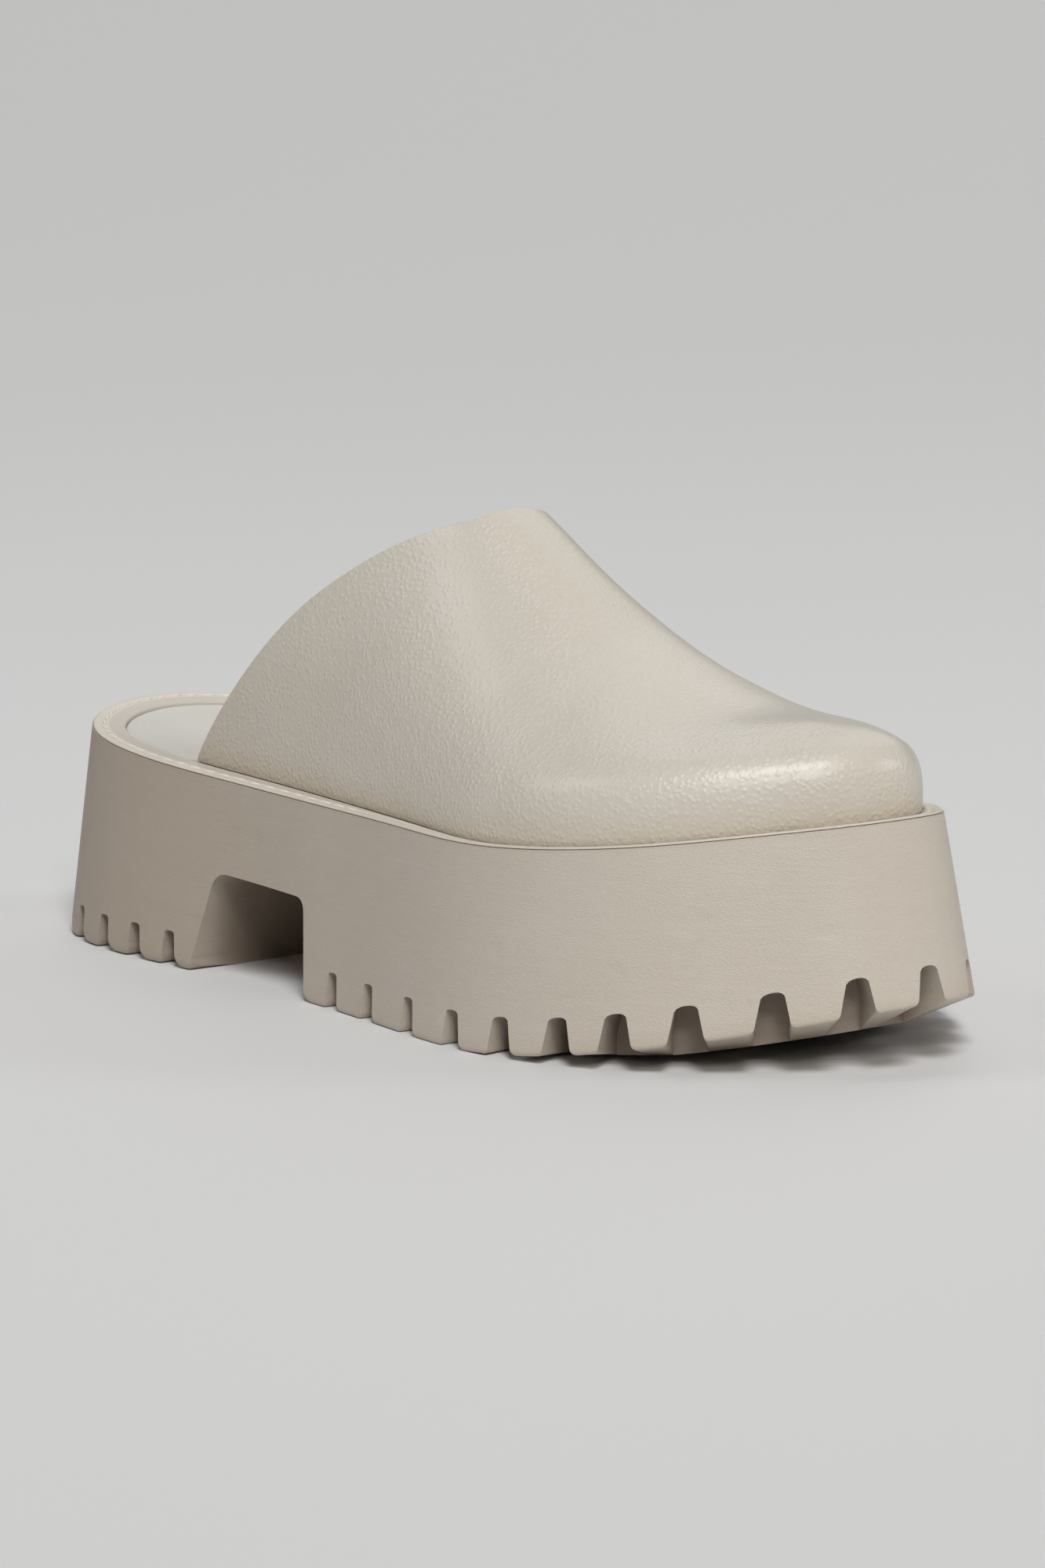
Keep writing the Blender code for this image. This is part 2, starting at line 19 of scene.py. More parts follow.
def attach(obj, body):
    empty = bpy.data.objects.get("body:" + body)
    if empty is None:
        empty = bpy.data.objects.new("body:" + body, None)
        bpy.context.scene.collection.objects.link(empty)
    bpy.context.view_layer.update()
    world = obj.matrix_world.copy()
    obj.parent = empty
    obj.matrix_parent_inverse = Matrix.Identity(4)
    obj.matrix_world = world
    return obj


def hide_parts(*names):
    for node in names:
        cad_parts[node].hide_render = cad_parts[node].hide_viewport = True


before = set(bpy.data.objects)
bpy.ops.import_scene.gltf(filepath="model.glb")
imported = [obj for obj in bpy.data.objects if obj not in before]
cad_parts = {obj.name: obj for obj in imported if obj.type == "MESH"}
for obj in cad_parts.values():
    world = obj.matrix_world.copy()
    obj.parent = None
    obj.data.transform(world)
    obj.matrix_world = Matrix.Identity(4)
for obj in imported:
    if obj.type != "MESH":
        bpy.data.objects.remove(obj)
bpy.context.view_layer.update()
LOG = logging.getLogger("platform_mule")
BODY = "root"


class Station(NamedTuple):
    """One section of the last, from heel to toe; every length is a share of a named size."""

    along: float
    outer: float
    inner: float
    rim: float
    welt: float


STATIONS: tuple[Station, ...] = (
    Station(0.000, 0.000, 0.000, 1.000, 1.00),
    Station(0.060, 0.302, 0.302, 0.957, 1.00),
    Station(0.182, 0.396, 0.384, 0.897, 1.00),
    Station(0.350, 0.405, 0.375, 0.855, 0.95),
    Station(0.573, 0.469, 0.433, 0.844, 0.62),
    Station(0.721, 0.506, 0.494, 0.849, 0.34),
    Station(0.860, 0.400, 0.459, 0.908, 0.36),
    Station(0.947, 0.201, 0.299, 0.970, 0.55),
    Station(0.990, 0.058, 0.180, 1.004, 0.66),
    Station(1.000, -0.068, 0.068, 1.012, 0.70),
)


class Crown(NamedTuple):
    """The upper's form at one section: shares of named sizes, then plain exponents."""

    along: float
    crown: float
    shoulder: float
    box: float
    spread: float


CROWNS: tuple[Crown, ...] = (
    Crown(0.20, 1.174, 0.90, 2.17, 0.44),
    Crown(0.40, 1.098, 0.90, 2.18, 0.47),
    Crown(0.53, 0.986, 0.95, 2.41, 0.57),
    Crown(0.64, 0.826, 0.99, 2.68, 0.87),
    Crown(0.72, 0.711, 1.05, 3.00, 1.23),
    Crown(0.80, 0.632, 1.09, 3.37, 1.62),
    Crown(0.90, 0.623, 1.11, 3.53, 1.81),
    Crown(1.00, 0.636, 1.05, 3.65, 2.00),
)


def follow(rows: Sequence[NamedTuple], column: str, along: np.ndarray) -> np.ndarray:
    """Smooth curve through one column of a table, straight on past its ends.

    Args:
        rows: the table's rows, with their places in a column named along.
        column: the column to read.
        along: places to read it at.

    Returns:
        The curve's values, in the shape of the places.
    """
    xs = np.array([row.along for row in rows])
    ys = np.array([getattr(row, column) for row in rows])
    slope = np.gradient(ys, xs)
    at = np.asarray(along, float)
    low = np.clip(np.searchsorted(xs, at) - 1, 0, len(xs) - 2)
    step = xs[low + 1] - xs[low]
    t = np.clip((at - xs[low]) / step, 0.0, 1.0)
    value = ((2 * t**3 - 3 * t**2 + 1) * ys[low] + (t**3 - 2 * t**2 + t) * step * slope[low]
             + (3 * t**2 - 2 * t**3) * ys[low + 1] + (t**3 - t**2) * step * slope[low + 1])
    return value + np.minimum(at - xs[0], 0.0) * slope[0] + np.maximum(at - xs[-1], 0.0) * slope[-1]


def closed_curve(ring: np.ndarray, count: int, fine: int = 240) -> np.ndarray:
    """Cubic through a closed ring of points, sampled at even lengths from its first point.

    Args:
        ring: the points, one row each.
        count: how many samples to return.
        fine: samples between two points before the lengths are evened.

    Returns:
        The samples, one row each.
    """
    size = len(ring)
    chord = np.hypot(*(np.roll(ring, -1, 0) - ring).T) ** 0.5
    before = np.roll(chord, 1)
    matrix = np.zeros((size, size))
    right = np.zeros((size, 2))
    for i in range(size):
        back, ahead = (i - 1) % size, (i + 1) % size
        matrix[i, back] += 1.0 / before[i]
        matrix[i, i] += 2.0 / before[i] + 2.0 / chord[i]
        matrix[i, ahead] += 1.0 / chord[i]
        right[i] = 3.0 * ((ring[i] - ring[back]) / before[i]**2 + (ring[ahead] - ring[i]) / chord[i]**2)
    slope = np.linalg.solve(matrix, right)
    t = np.linspace(0.0, 1.0, fine, endpoint=False)[:, None]
    dense = []
    for i in range(size):
        ahead = (i + 1) % size
        dense.append((2 * t**3 - 3 * t**2 + 1) * ring[i] + (t**3 - 2 * t**2 + t) * chord[i] * slope[i]
                     + (3 * t**2 - 2 * t**3) * ring[ahead] + (t**3 - t**2) * chord[i] * slope[ahead])
    line = np.vstack(dense + [ring[:1]])
    length = np.r_[0.0, np.cumsum(np.hypot(*np.diff(line, axis=0).T))]
    at = np.linspace(0.0, length[-1], count, endpoint=False)
    return np.stack([np.interp(at, length, line[:, k]) for k in (0, 1)], 1)


def outward(ring: np.ndarray) -> np.ndarray:
    """Unit normals of a ring that runs from the heel along the outer side."""
    tangent = np.roll(ring, -1, 0) - np.roll(ring, 1, 0)
    tangent /= np.hypot(*tangent.T)[:, None]
    return np.stack([tangent[:, 1], -tangent[:, 0]], 1)


def smooth_step(value: np.ndarray) -> np.ndarray:
    """Ease from 0 to 1 as the value goes from 0 to 1."""
    t = np.clip(value, 0.0, 1.0)
    return t * t * (3.0 - 2.0 * t)


@dataclass(frozen=True)
class Last:
    """Driving sizes of the shoe, from which the outline and the heights come."""

    rim_length: float = 0.2703
    ball_width: float = 0.1071
    platform_height: float = 0.0564
    toe_spring: float = 0.0151
    spring_start: float = 0.190
    spring_power: float = 1.67
    flare_heel: float = 0.0074
    flare_side: float = 0.0043
    flare_toe: float = 0.0081
    heel_flare_power: float = 4.0
    toe_flare_power: float = 2.5
    gap: float = 0.0003
    welt_width: float = 0.0085
    ledge_drop: float = 0.00058
    collar_foot: float = 0.0621
    upper_wall: float = 0.0022
    tread_bevel: float = 0.0028
    tread_bevel_share: float = 0.55
    insole_step: float = 0.0080
    insole_step_lead: float = 0.0088
    centring_points: int = 120
    ring_points: int = 2400


class Outline:
    """Rim, foot and feather lines of the shoe, with its heights from heel to toe."""

    def __init__(self, last: Last) -> None:
        """Sample the outline closely and centre it as the solids are.

        Args:
            last: the driving sizes.
        """
        self.last = last
        _, _, rough = self._rings(last.centring_points)
        self.centre = (rough.min(0) + rough.max(0)) / 2.0
        self.heel_back = -float(self.centre[0])
        self.spring_tip = float(rough[:, 0].max()) - float(self.centre[0])
        self.spring_from = self.heel_back + last.spring_start
        rim, normal, foot = self._rings(last.ring_points)
        self.rim = np.vstack([rim, rim[:1]]) - self.centre
        self.foot = np.vstack([foot, foot[:1]]) - self.centre
        self.normal = np.vstack([normal, normal[:1]])
        self.reach = np.r_[0.0, np.cumsum(np.hypot(*np.diff(self.foot, axis=0).T))]
        self.length = float(self.reach[-1])
        self.collar_x = self.heel_back + last.collar_foot

    def _rings(self, count: int) -> tuple[np.ndarray, np.ndarray, np.ndarray]:
        """Rim, its outward normals, and the foot of the wall, not yet centred."""
        last = self.last
        outer = [(row.along * last.rim_length, -row.outer * last.ball_width) for row in STATIONS]
        inner = [(row.along * last.rim_length, row.inner * last.ball_width) for row in STATIONS[1:-1]]
        rim = closed_curve(np.array(outer + inner[::-1]), count)
        normal = outward(rim)
        side = 2.0 * rim[:, 0] / last.rim_length - 1.0
        flare = (last.flare_side
                 + (last.flare_heel - last.flare_side) * np.clip(-side, 0.0, 1.0) ** last.heel_flare_power
                 + (last.flare_toe - last.flare_side) * np.clip(side, 0.0, 1.0) ** last.toe_flare_power)
        return rim, normal, rim + normal * flare[:, None]

    def share(self, x: np.ndarray) -> np.ndarray:
        """Share of the rim's length at a place along the shoe."""
        return (np.asarray(x, float) - self.heel_back) / self.last.rim_length

    def rim_height(self, x: np.ndarray) -> np.ndarray:
        """Height of the welt's top."""
        return self.last.platform_height * follow(STATIONS, "rim", self.share(x))

    def ledge_height(self, x: np.ndarray) -> np.ndarray:
        """Height of the platform's top, under the welt."""
        return self.rim_height(x) - self.last.ledge_drop

    def ground_height(self, x: np.ndarray) -> np.ndarray:
        """Height of the wall's foot, which lifts towards the toe."""
        run = (np.asarray(x, float) - self.spring_from) / (self.spring_tip - self.spring_from)
        return self.last.toe_spring * np.clip(run, 0.0, None) ** self.last.spring_power

    def tread_height(self, x: np.ndarray) -> np.ndarray:
        """Height of the tread inside its bevelled edge."""
        ground = self.ground_height(x)
        return ground - np.minimum(self.last.tread_bevel, self.last.tread_bevel_share * ground)

    def welt_band(self, x: np.ndarray) -> np.ndarray:
        """Width of the welt that shows, at a place along the rim."""
        return self.last.welt_width * follow(STATIONS, "welt", self.share(x))

    def spine(self, x: np.ndarray) -> np.ndarray:
        """Middle line of the foot, which leans to the inner side at the toe."""
        along = self.share(x)
        lean = follow(STATIONS, "inner", along) - follow(STATIONS, "outer", along)
        return self.last.ball_width * lean / 2.0 - self.centre[1]

    def insole_inset(self, x: np.ndarray) -> np.ndarray:
        """Inset of the insole's edge from the rim: beside the welt, then inside the upper."""
        last = self.last
        clear = smooth_step((x - self.collar_x + last.insole_step_lead) / last.insole_step)
        return self.welt_band(x) + last.gap + (last.upper_wall + last.gap) * clear

    def at(self, place: np.ndarray) -> tuple[np.ndarray, np.ndarray, np.ndarray]:
        """Rim, outward normal and foot at lengths along the wall's foot.

        Args:
            place: lengths from the back of the heel, in any shape.

        Returns:
            Three arrays of points with that shape and two columns more.
        """
        at = np.mod(place, self.length)

        def read(line: np.ndarray) -> np.ndarray:
            return np.stack([np.interp(at, self.reach, line[:, k]) for k in (0, 1)], -1)

        normal = read(self.normal)
        return read(self.rim), normal / np.linalg.norm(normal, axis=-1, keepdims=True), read(self.foot)

    def full_height(self, place: np.ndarray) -> np.ndarray:
        """Height of the wall from its foot to the platform's top."""
        rim, _, foot = self.at(place)
        return self.ledge_height(rim[..., 0]) - self.ground_height(foot[..., 0])

    def wall(self, place: np.ndarray, height: np.ndarray) -> np.ndarray:
        """Points of the platform's flared wall.

        Args:
            place: lengths along the foot.
            height: heights above the foot.

        Returns:
            The points, three columns more than the places' shape.
        """
        rim, _, foot = self.at(place)
        low = self.ground_height(foot[..., 0])
        part = height / (self.ledge_height(rim[..., 0]) - low)
        flat = foot + (rim - foot) * part[..., None]
        return np.concatenate([flat, (low + height)[..., None]], -1)

    def place_of(self, x: float, z: float, inner: bool) -> float:
        """Length along the foot at which the wall passes a place in side view.

        Args:
            x: the place along the shoe.
            z: its height.
            inner: whether it lies on the inner side.

        Returns:
            The length from the back of the heel.
        """
        tip = int(np.argmax(self.foot[:, 0]))
        side = slice(tip, None) if inner else slice(0, tip)
        part = (z - self.ground_height(self.foot[side, 0]))
        part = part / (self.ledge_height(self.rim[side, 0]) - self.ground_height(self.foot[side, 0]))
        line = self.foot[side, 0] + (self.rim[side, 0] - self.foot[side, 0]) * part
        reach = self.reach[side]
        return float(np.interp(x, line[::-1], reach[::-1]) if inner else np.interp(x, line, reach))


def mapped_grid(columns: int, rows: int,
                place: Callable[[np.ndarray, np.ndarray], np.ndarray]) -> bmesh.types.BMesh:
    """Grid whose vertices are moved to the places of their column and row.

    Args:
        columns: how many faces across.
        rows: how many faces up.
        place: turns arrays of column and row numbers into points.

    Returns:
        The grid, with both numbers kept in layers named column and row.
    """
    work = bmesh.new()
    bmesh.ops.create_grid(work, x_segments=columns, y_segments=rows, size=0.5)
    column_of = work.verts.layers.int.new("column")
    row_of = work.verts.layers.int.new("row")
    across = np.array([round((vert.co.x + 0.5) * columns) for vert in work.verts])
    up = np.array([round((vert.co.y + 0.5) * rows) for vert in work.verts])
    for vert, point, column, row in zip(work.verts, place(across, up), across, up):
        vert.co = point
        vert[column_of] = int(column)
        vert[row_of] = int(row)
    return work


def weld(work: bmesh.types.BMesh, distance: float = 2e-6) -> None:
    """Join the vertices that lie on each other, as at a ring's seam."""
    bmesh.ops.remove_doubles(work, verts=work.verts[:], dist=distance)


class Piece:
    """One visible piece: its mesh, finish, body and the node that it stands for."""

    def __init__(self, name: str, work: bmesh.types.BMesh, materials: Sequence[bpy.types.Material],
                 slot: str, node: str | None = None) -> None:
        """Turn a bmesh into an object that rides on the shoe's body.

        Args:
            name: the object's name.
            work: the mesh, which is freed.
            materials: its finishes, in slot order.
            slot: not used.
            node: the node that it replaces, if any.
        """
        mesh = bpy.data.meshes.new(name)
        work.to_mesh(mesh)
        work.free()
        mesh.shade_smooth()
        for material in materials:
            mesh.materials.append(material)
        self.thing = bpy.data.objects.new(name, mesh)
        bpy.context.scene.collection.objects.link(self.thing)
        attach(self.thing, BODY)
        if node:
            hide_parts(node)

    def bevel(self, width: float, segments: int, angle: float) -> "Piece":
        """Round the edges that are sharper than an angle, in degrees."""
        rounding = self.thing.modifiers.new("rounded_edges", "BEVEL")
        rounding.width = width
        rounding.segments = segments
        rounding.limit_method = "ANGLE"
        rounding.angle_limit = math.radians(angle)
        rounding.harden_normals = True
        return self

    def wall(self, thickness: float) -> "Piece":
        """Give an open shell its wall, inwards, with the second finish inside."""
        shell = self.thing.modifiers.new("wall", "SOLIDIFY")
        shell.thickness = thickness
        shell.offset = -1.0
        shell.use_even_offset = True
        shell.material_offset = 1
        return self

    def report(self) -> None:
        """Log the piece's name and its size after its modifiers."""
        graph = bpy.context.evaluated_depsgraph_get()
        mesh = self.thing.evaluated_get(graph).to_mesh()
        mesh.calc_loop_triangles()
        LOG.info("%s: %d triangles", self.thing.name, len(mesh.loop_triangles))


class Reach(Enum):
    """How far a cut in the wall's foot goes."""

    NOTCH = "into the wall"
    THROUGH = "right across the shoe"


@dataclass
class Cut:
    """One gap in the wall's foot, as places and heights by row and column."""

    places: np.ndarray
    heights: np.ndarray
    inward: np.ndarray
    reach: Reach
    corner: float


@dataclass(frozen=True)
class Rows:
    """Shares that space the wall's rows: up to the lugs' tops, to the tunnel's roof, to the rim."""

    lugs: tuple[float, ...] = (0.0, 0.015, 0.055, 0.115, 0.19, 0.3, 0.44, 0.6, 0.8, 1.0)
    tunnel: tuple[float, ...] = (0.2, 0.4, 0.6, 0.8, 1.0)
    rim: tuple[float, ...] = (0.12, 0.24, 0.36, 0.48, 0.6, 0.72, 0.84, 0.93, 1.0)

    @property
    def lug_top(self) -> int:
        """Row of the notches' roofs."""
        return len(self.lugs) - 1

    @property
    def tunnel_top(self) -> int:
        """Row of the tunnel's roof."""
        return self.lug_top + len(self.tunnel)

    @property
    def total(self) -> int:
        """Row of the platform's top edge."""
        return self.tunnel_top + len(self.rim)


@dataclass
class PlatformSole:
    """Moulded sole: flared wall, lugs, arch tunnel, tread with its channel, and the seat on top."""

    outline: Outline
    tunnel_rear: float = 0.0745
    tunnel_length: float = 0.0488
    tunnel_height: float = 0.0256
    tunnel_drop: float = 0.0012
    rear_draft: float = math.radians(18.5)
    front_draft: float = math.radians(7.0)
    rear_radius: float = 0.0055
    front_radius: float = 0.0035
    lug_height: float = 0.0089
    side_notch: tuple[float, float] = (0.0037, 0.0058)
    toe_notch: tuple[float, float] = (0.0050, 0.0088)
    side_arch: float = 0.0012
    toe_arch: float = 0.0021
    toe_notches_from: float = 0.6
    toe_notches_full: float = 0.9
    notch_depth: float = 0.0130
    heel_pitch: float = 0.0142
    heel_notches: int = 7
    forefoot_pitch: float = 0.0176
    steps: tuple[float, ...] = (1.11, 1.10, 1.11, 0.94, 0.84, 0.92, 0.92, 1.03, 1.05, 0.93)
    heel_corner: float = 0.0027
    forefoot_corner: float = 0.0015
    heel_worn: float = 0.0019
    forefoot_worn: float = 0.0011
    worn_at_side: float = 0.3
    side_level: float = 0.0215
    notch_columns: int = 8
    arc_columns: int = 6
    roof_columns: int = 8
    lug_columns: int = 4
    corner_shares: tuple[float, ...] = (0.1, 0.3, 0.6, 1.0)
    channel_half: float = 0.009
    channel_depth: float = 0.0094
    channel_margin: float = 0.030
    tread_lane: float = 0.024
    tread_step: float = 0.0085
    pocket_edge: float = 0.0014
    pocket_depth: float = 0.0012
    insole_sunk: float = 0.0010
    insole_thickness: float = 0.0040
    lip_room: float = 0.0006
    edge_round: float = 0.0004
    narrow_lug: float = 0.75
    rows: Rows = field(default_factory=Rows)

    def build(self, materials: Sequence[bpy.types.Material]) -> Piece:
        """Make the whole sole as one closed mesh.

        Args:
            materials: the sole's finishes.

        Returns:
            The finished piece.
        """
        cuts = self.cuts()
        places, heights, inward, base, spans = self.columns(cuts)
        work = self.wall_grid(places, heights, inward, base, cuts, spans)
        self.inner_faces(work, places, inward, cuts, spans)
        self.tread(work)
        self.top_seat(work, places)
        bmesh.ops.recalc_face_normals(work, faces=work.faces[:])
        self.paint(work)
        piece = Piece("platform_form", work, materials, "moulded_cream", "platform_sole")
        return piece.bevel(self.edge_round, 3, 36.0)

    def cuts(self) -> list[Cut]:
        """All the notches and both mouths of the tunnel, in order round the foot."""
        outline = self.outline
        found = [self.notch(self.heel_pitch * k) for k in range(-self.heel_notches, self.heel_notches + 1)]
        found.append(self.tunnel_mouth(inner=False))
        tip = float(outline.reach[int(np.argmax(outline.foot[:, 0]))])
        away = np.cumsum(self.steps) * self.forefoot_pitch
        found += [self.notch(place) for place in np.r_[tip - away[::-1], tip, tip + away]]
        found.append(self.tunnel_mouth(inner=True))
        return found

    def notch(self, place: float) -> Cut:
        """One tapered notch with a rounded roof.

        Args:
            place: its middle, as a length along the foot.

        Returns:
            The cut.
        """
        outline, rows = self.outline, self.rows
        _, normal, foot = outline.at(np.array(place))
        share = outline.share(foot[0])
        toe = float(np.clip((share - self.toe_notches_from)
                            / (self.toe_notches_full - self.toe_notches_from), 0.0, 1.0))
        half_top = (self.side_notch[0] + (self.toe_notch[0] - self.side_notch[0]) * toe) / 2.0
        half_foot = (self.side_notch[1] + (self.toe_notch[1] - self.side_notch[1]) * toe) / 2.0
        arch = self.side_arch + (self.toe_arch - self.side_arch) * toe
        corner = self.heel_corner if share < 0.4 else self.forefoot_corner
        across = -np.cos(np.linspace(0.0, math.pi, self.notch_columns + 1))
        square = 3.0 - 0.5 * toe
        roof = self.lug_height - arch * (1.0 - (1.0 - np.abs(across) ** square).clip(0.0) ** (1.0 / square))
        lug = np.array(rows.lugs)[:, None]
        side = corner + (roof[0] - corner) * lug
        half = half_foot + (half_top - half_foot) * side / self.lug_height
        low_places = place + across * half
        low_heights = corner + (roof - corner) * lug
        middle = np.array(rows.tunnel)[:, None]
        top_places = np.repeat(low_places[-1:], len(rows.tunnel) + len(rows.rim), 0)
        middle_heights = roof + (self.side_level - roof) * middle
        rise = np.array(rows.rim)[:, None]
        full = outline.full_height(low_places[-1])
        high = self.side_level + (full - self.side_level) * rise
        return Cut(np.vstack([low_places, top_places]), np.vstack([low_heights, middle_heights, high]),
                   -normal, Reach.NOTCH, corner)

    def tunnel_roof(self) -> np.ndarray:
        """Side view of the tunnel from the end of its rear wall, over the roof, to its front wall."""
        rear_foot = self.outline.heel_back + self.tunnel_rear
        front_foot = rear_foot + self.tunnel_length
        front_roof = self.tunnel_height - self.tunnel_drop
        rear_low = np.array((rear_foot, 0.0))
        rear_top = np.array((rear_foot + math.tan(self.rear_draft) * self.tunnel_height, self.tunnel_height))
        front_top = np.array((front_foot - math.tan(self.front_draft) * front_roof, front_roof))
        front_low = np.array((front_foot, 0.0))
        rear = self.rounded(rear_low, rear_top, front_top, self.rear_radius)
        front = self.rounded(rear_top, front_top, front_low, self.front_radius)
        between = np.linspace(rear[-1], front[0], self.roof_columns + 1)[1:-1]
        return np.vstack([rear, between, front])

    def rounded(self, before: np.ndarray, corner: np.ndarray, after: np.ndarray, radius: float) -> np.ndarray:
        """Points of the arc that rounds one corner of a flat line.

        Args:
            before: a point on the line's way in.
            corner: the corner.
            after: a point on its way out.
            radius: the arc's radius.

        Returns:
            The arc's points, one row each.
        """
        back = (before - corner) / np.linalg.norm(before - corner)
        ahead = (after - corner) / np.linalg.norm(after - corner)
        half = math.acos(float(np.clip(back @ ahead, -1.0, 1.0))) / 2.0
        centre = corner + (back + ahead) / np.linalg.norm(back + ahead) * radius / math.sin(half)
        start = corner + back * radius / math.tan(half) - centre
        end = corner + ahead * radius / math.tan(half) - centre
        turn = math.atan2(start[0] * end[1] - start[1] * end[0], float(start @ end))
        angle = np.linspace(0.0, turn, self.arc_columns + 1)[:, None]
        across = np.array([-start[1], start[0]])
        return centre + start * np.cos(angle) + across * np.sin(angle)

    def tunnel_mouth(self, inner: bool) -> Cut:
        """One mouth of the tunnel.

        Args:
            inner: whether it is the mouth on the inner side.

        Returns:
            The cut.
        """
        outline, rows = self.outline, self.rows
        roof = self.tunnel_roof()
        side_top = self.lug_height - self.side_arch
        corner = self.heel_corner
        lug, middle = np.array(rows.lugs), np.array(rows.tunnel)
        heights, places = [], []
        for end in (0, -1):
            line = np.r_[corner + (side_top - corner) * lug, side_top + (roof[end, 1] - side_top) * middle]
            draft = math.tan(self.rear_draft) if end == 0 else -math.tan(self.front_draft)
            xs = roof[end, 0] - draft * (roof[end, 1] - line)
            heights.append(line)
            places.append([outline.place_of(x, z, inner) for x, z in zip(xs, line)])
        roof_places = np.array([outline.place_of(x, z, inner) for x, z in roof])
        across = (roof_places - roof_places[0]) / (roof_places[-1] - roof_places[0])
        rear_places, front_places = (np.array(column)[:, None] for column in places)
        rear_heights, front_heights = (column[:, None] for column in heights)
        low_places = rear_places + (front_places - rear_places) * across
        low_heights = rear_heights + (front_heights - rear_heights) * across
        low_heights[-1] = roof[:, 1]
        rise = np.array(rows.rim)[:, None]
        high_places = np.repeat(low_places[-1:], len(rows.rim), 0)
        high = roof[:, 1] + (outline.full_height(roof_places) - roof[:, 1]) * rise
        places_all, heights_all = np.vstack([low_places, high_places]), np.vstack([low_heights, high])
        if inner:
            places_all, heights_all = places_all[:, ::-1], heights_all[:, ::-1]
        return Cut(places_all, heights_all, np.array([0.0, -1.0 if inner else 1.0]), Reach.THROUGH, corner)

    def columns(self, cuts: Sequence[Cut]) -> tuple[np.ndarray, np.ndarray, np.ndarray, np.ndarray,
                                                    list[tuple[int, int]]]:
        """Line up the cuts with the lugs between them.

        Args:
            cuts: the cuts, in order round the foot.

        Returns:
            Places and heights by row and column, then for each column the inward direction and the
            share of a rounded corner's height at which it starts, and each cut's first and last column.
        """
        outline, rows = self.outline, self.rows
        places, heights, inward, starts, spans = [], [], [], [], []
        column = 0
        for index, cut in enumerate(cuts):
            count = cut.places.shape[1]
            spans.append((column, column + count - 1))
            places.append(cut.places)
            heights.append(cut.heights)
            inward.append(np.repeat(cut.inward[None], count, 0))
            starts.append(np.ones(count))
            ahead = cuts[(index + 1) % len(cuts)]
            turn = outline.length if index + 1 == len(cuts) else 0.0
            near_place, near_height = cut.places[:, -1:], cut.heights[:, -1:]
            far_place, far_height = ahead.places[:, :1] + turn, ahead.heights[:, :1]
            width = float(far_place[0, 0] - near_place[0, 0])
            room = min(1.0, self.narrow_lug * width / (cut.corner + ahead.corner))
            near_reach, far_reach = cut.corner * room / width, ahead.corner * room / width
            near = np.array(self.corner_shares) * near_reach
            far = 1.0 - np.array(self.corner_shares)[::-1] * far_reach
            between = np.linspace(near[-1], far[0], self.lug_columns + 1)[1:-1]
            part = np.r_[near, between, far]
            from_near, from_far = part / near_reach, (1.0 - part) / far_reach
            from_side = np.minimum(from_near, from_far).clip(0.0, 1.0)
            corner = np.where(from_near < from_far, cut.corner, ahead.corner)
            base = corner * (1.0 - np.sqrt(1.0 - (1.0 - from_side) ** 2))
            lug_places = near_place + (far_place - near_place) * part
            lug_heights = near_height + (far_height - near_height) * part
            top = lug_heights[rows.lug_top]
            share = np.array(rows.lugs)[:, None]
            lug_heights[:rows.lug_top + 1] = base + (top - base) * share
            level = lug_heights[rows.tunnel_top]
            full = outline.full_height(lug_places[-1])
            lug_heights[rows.tunnel_top + 1:] = level + (full - level) * np.array(rows.rim)[:, None]
            places.append(lug_places)
            heights.append(lug_heights)
            inward.append(cut.inward + (ahead.inward - cut.inward) * part[:, None])
            starts.append(base / corner)
            column += count + len(part)
        places.append(cuts[0].places[:, :1] + outline.length)
        heights.append(cuts[0].heights[:, :1])
        inward.append(cuts[0].inward[None])
        starts.append(np.ones(1))
        directions = np.vstack(inward)
        directions /= np.linalg.norm(directions, axis=1, keepdims=True)
        return np.hstack(places), np.hstack(heights), directions, np.hstack(starts), spans

    def wall_grid(self, places: np.ndarray, heights: np.ndarray, inward: np.ndarray, starts: np.ndarray,
                  cuts: Sequence[Cut], spans: Sequence[tuple[int, int]]) -> bmesh.types.BMesh:
        """Wall of the platform with its cuts left open and the lugs' feet worn round.

        Args:
            places: lengths along the foot, by row and column.
            heights: heights above the foot, by row and column.
            inward: direction of each column.
            starts: how far up a rounded corner each column starts, from 0 to 1.
            cuts: the cuts.
            spans: each cut's first and last column.

        Returns:
            The wall, open at its foot and its rim.
        """
        points = self.outline.wall(places, heights)
        heel = 1.0 - smooth_step((self.outline.share(points[0, :, 0]) - 0.30) / 0.15)
        worn = self.forefoot_worn + (self.heel_worn - self.forefoot_worn) * heel
        worn = worn * (1.0 - (1.0 - self.worn_at_side) * starts)
        lift = np.clip((heights - heights[0]) / worn, 0.0, 1.0)
        points[..., :2] += inward * (worn * (1.0 - np.sqrt(1.0 - (1.0 - lift) ** 2)))[..., None]
        rows = self.rows
        work = mapped_grid(places.shape[1] - 1, rows.total, lambda column, row: points[row, column])
        column_of, row_of = work.verts.layers.int["column"], work.verts.layers.int["row"]
        top_of = np.zeros(places.shape[1], int)
        for cut, (first, last) in zip(cuts, spans):
            top_of[first:last] = rows.lug_top if cut.reach is Reach.NOTCH else rows.tunnel_top
        gone = []
        for face in work.faces:
            column = min(vert[column_of] for vert in face.verts)
            row = min(vert[row_of] for vert in face.verts)
            if row < top_of[column]:
                gone.append(face)
        bmesh.ops.delete(work, geom=gone, context="FACES")
        weld(work)
        return work

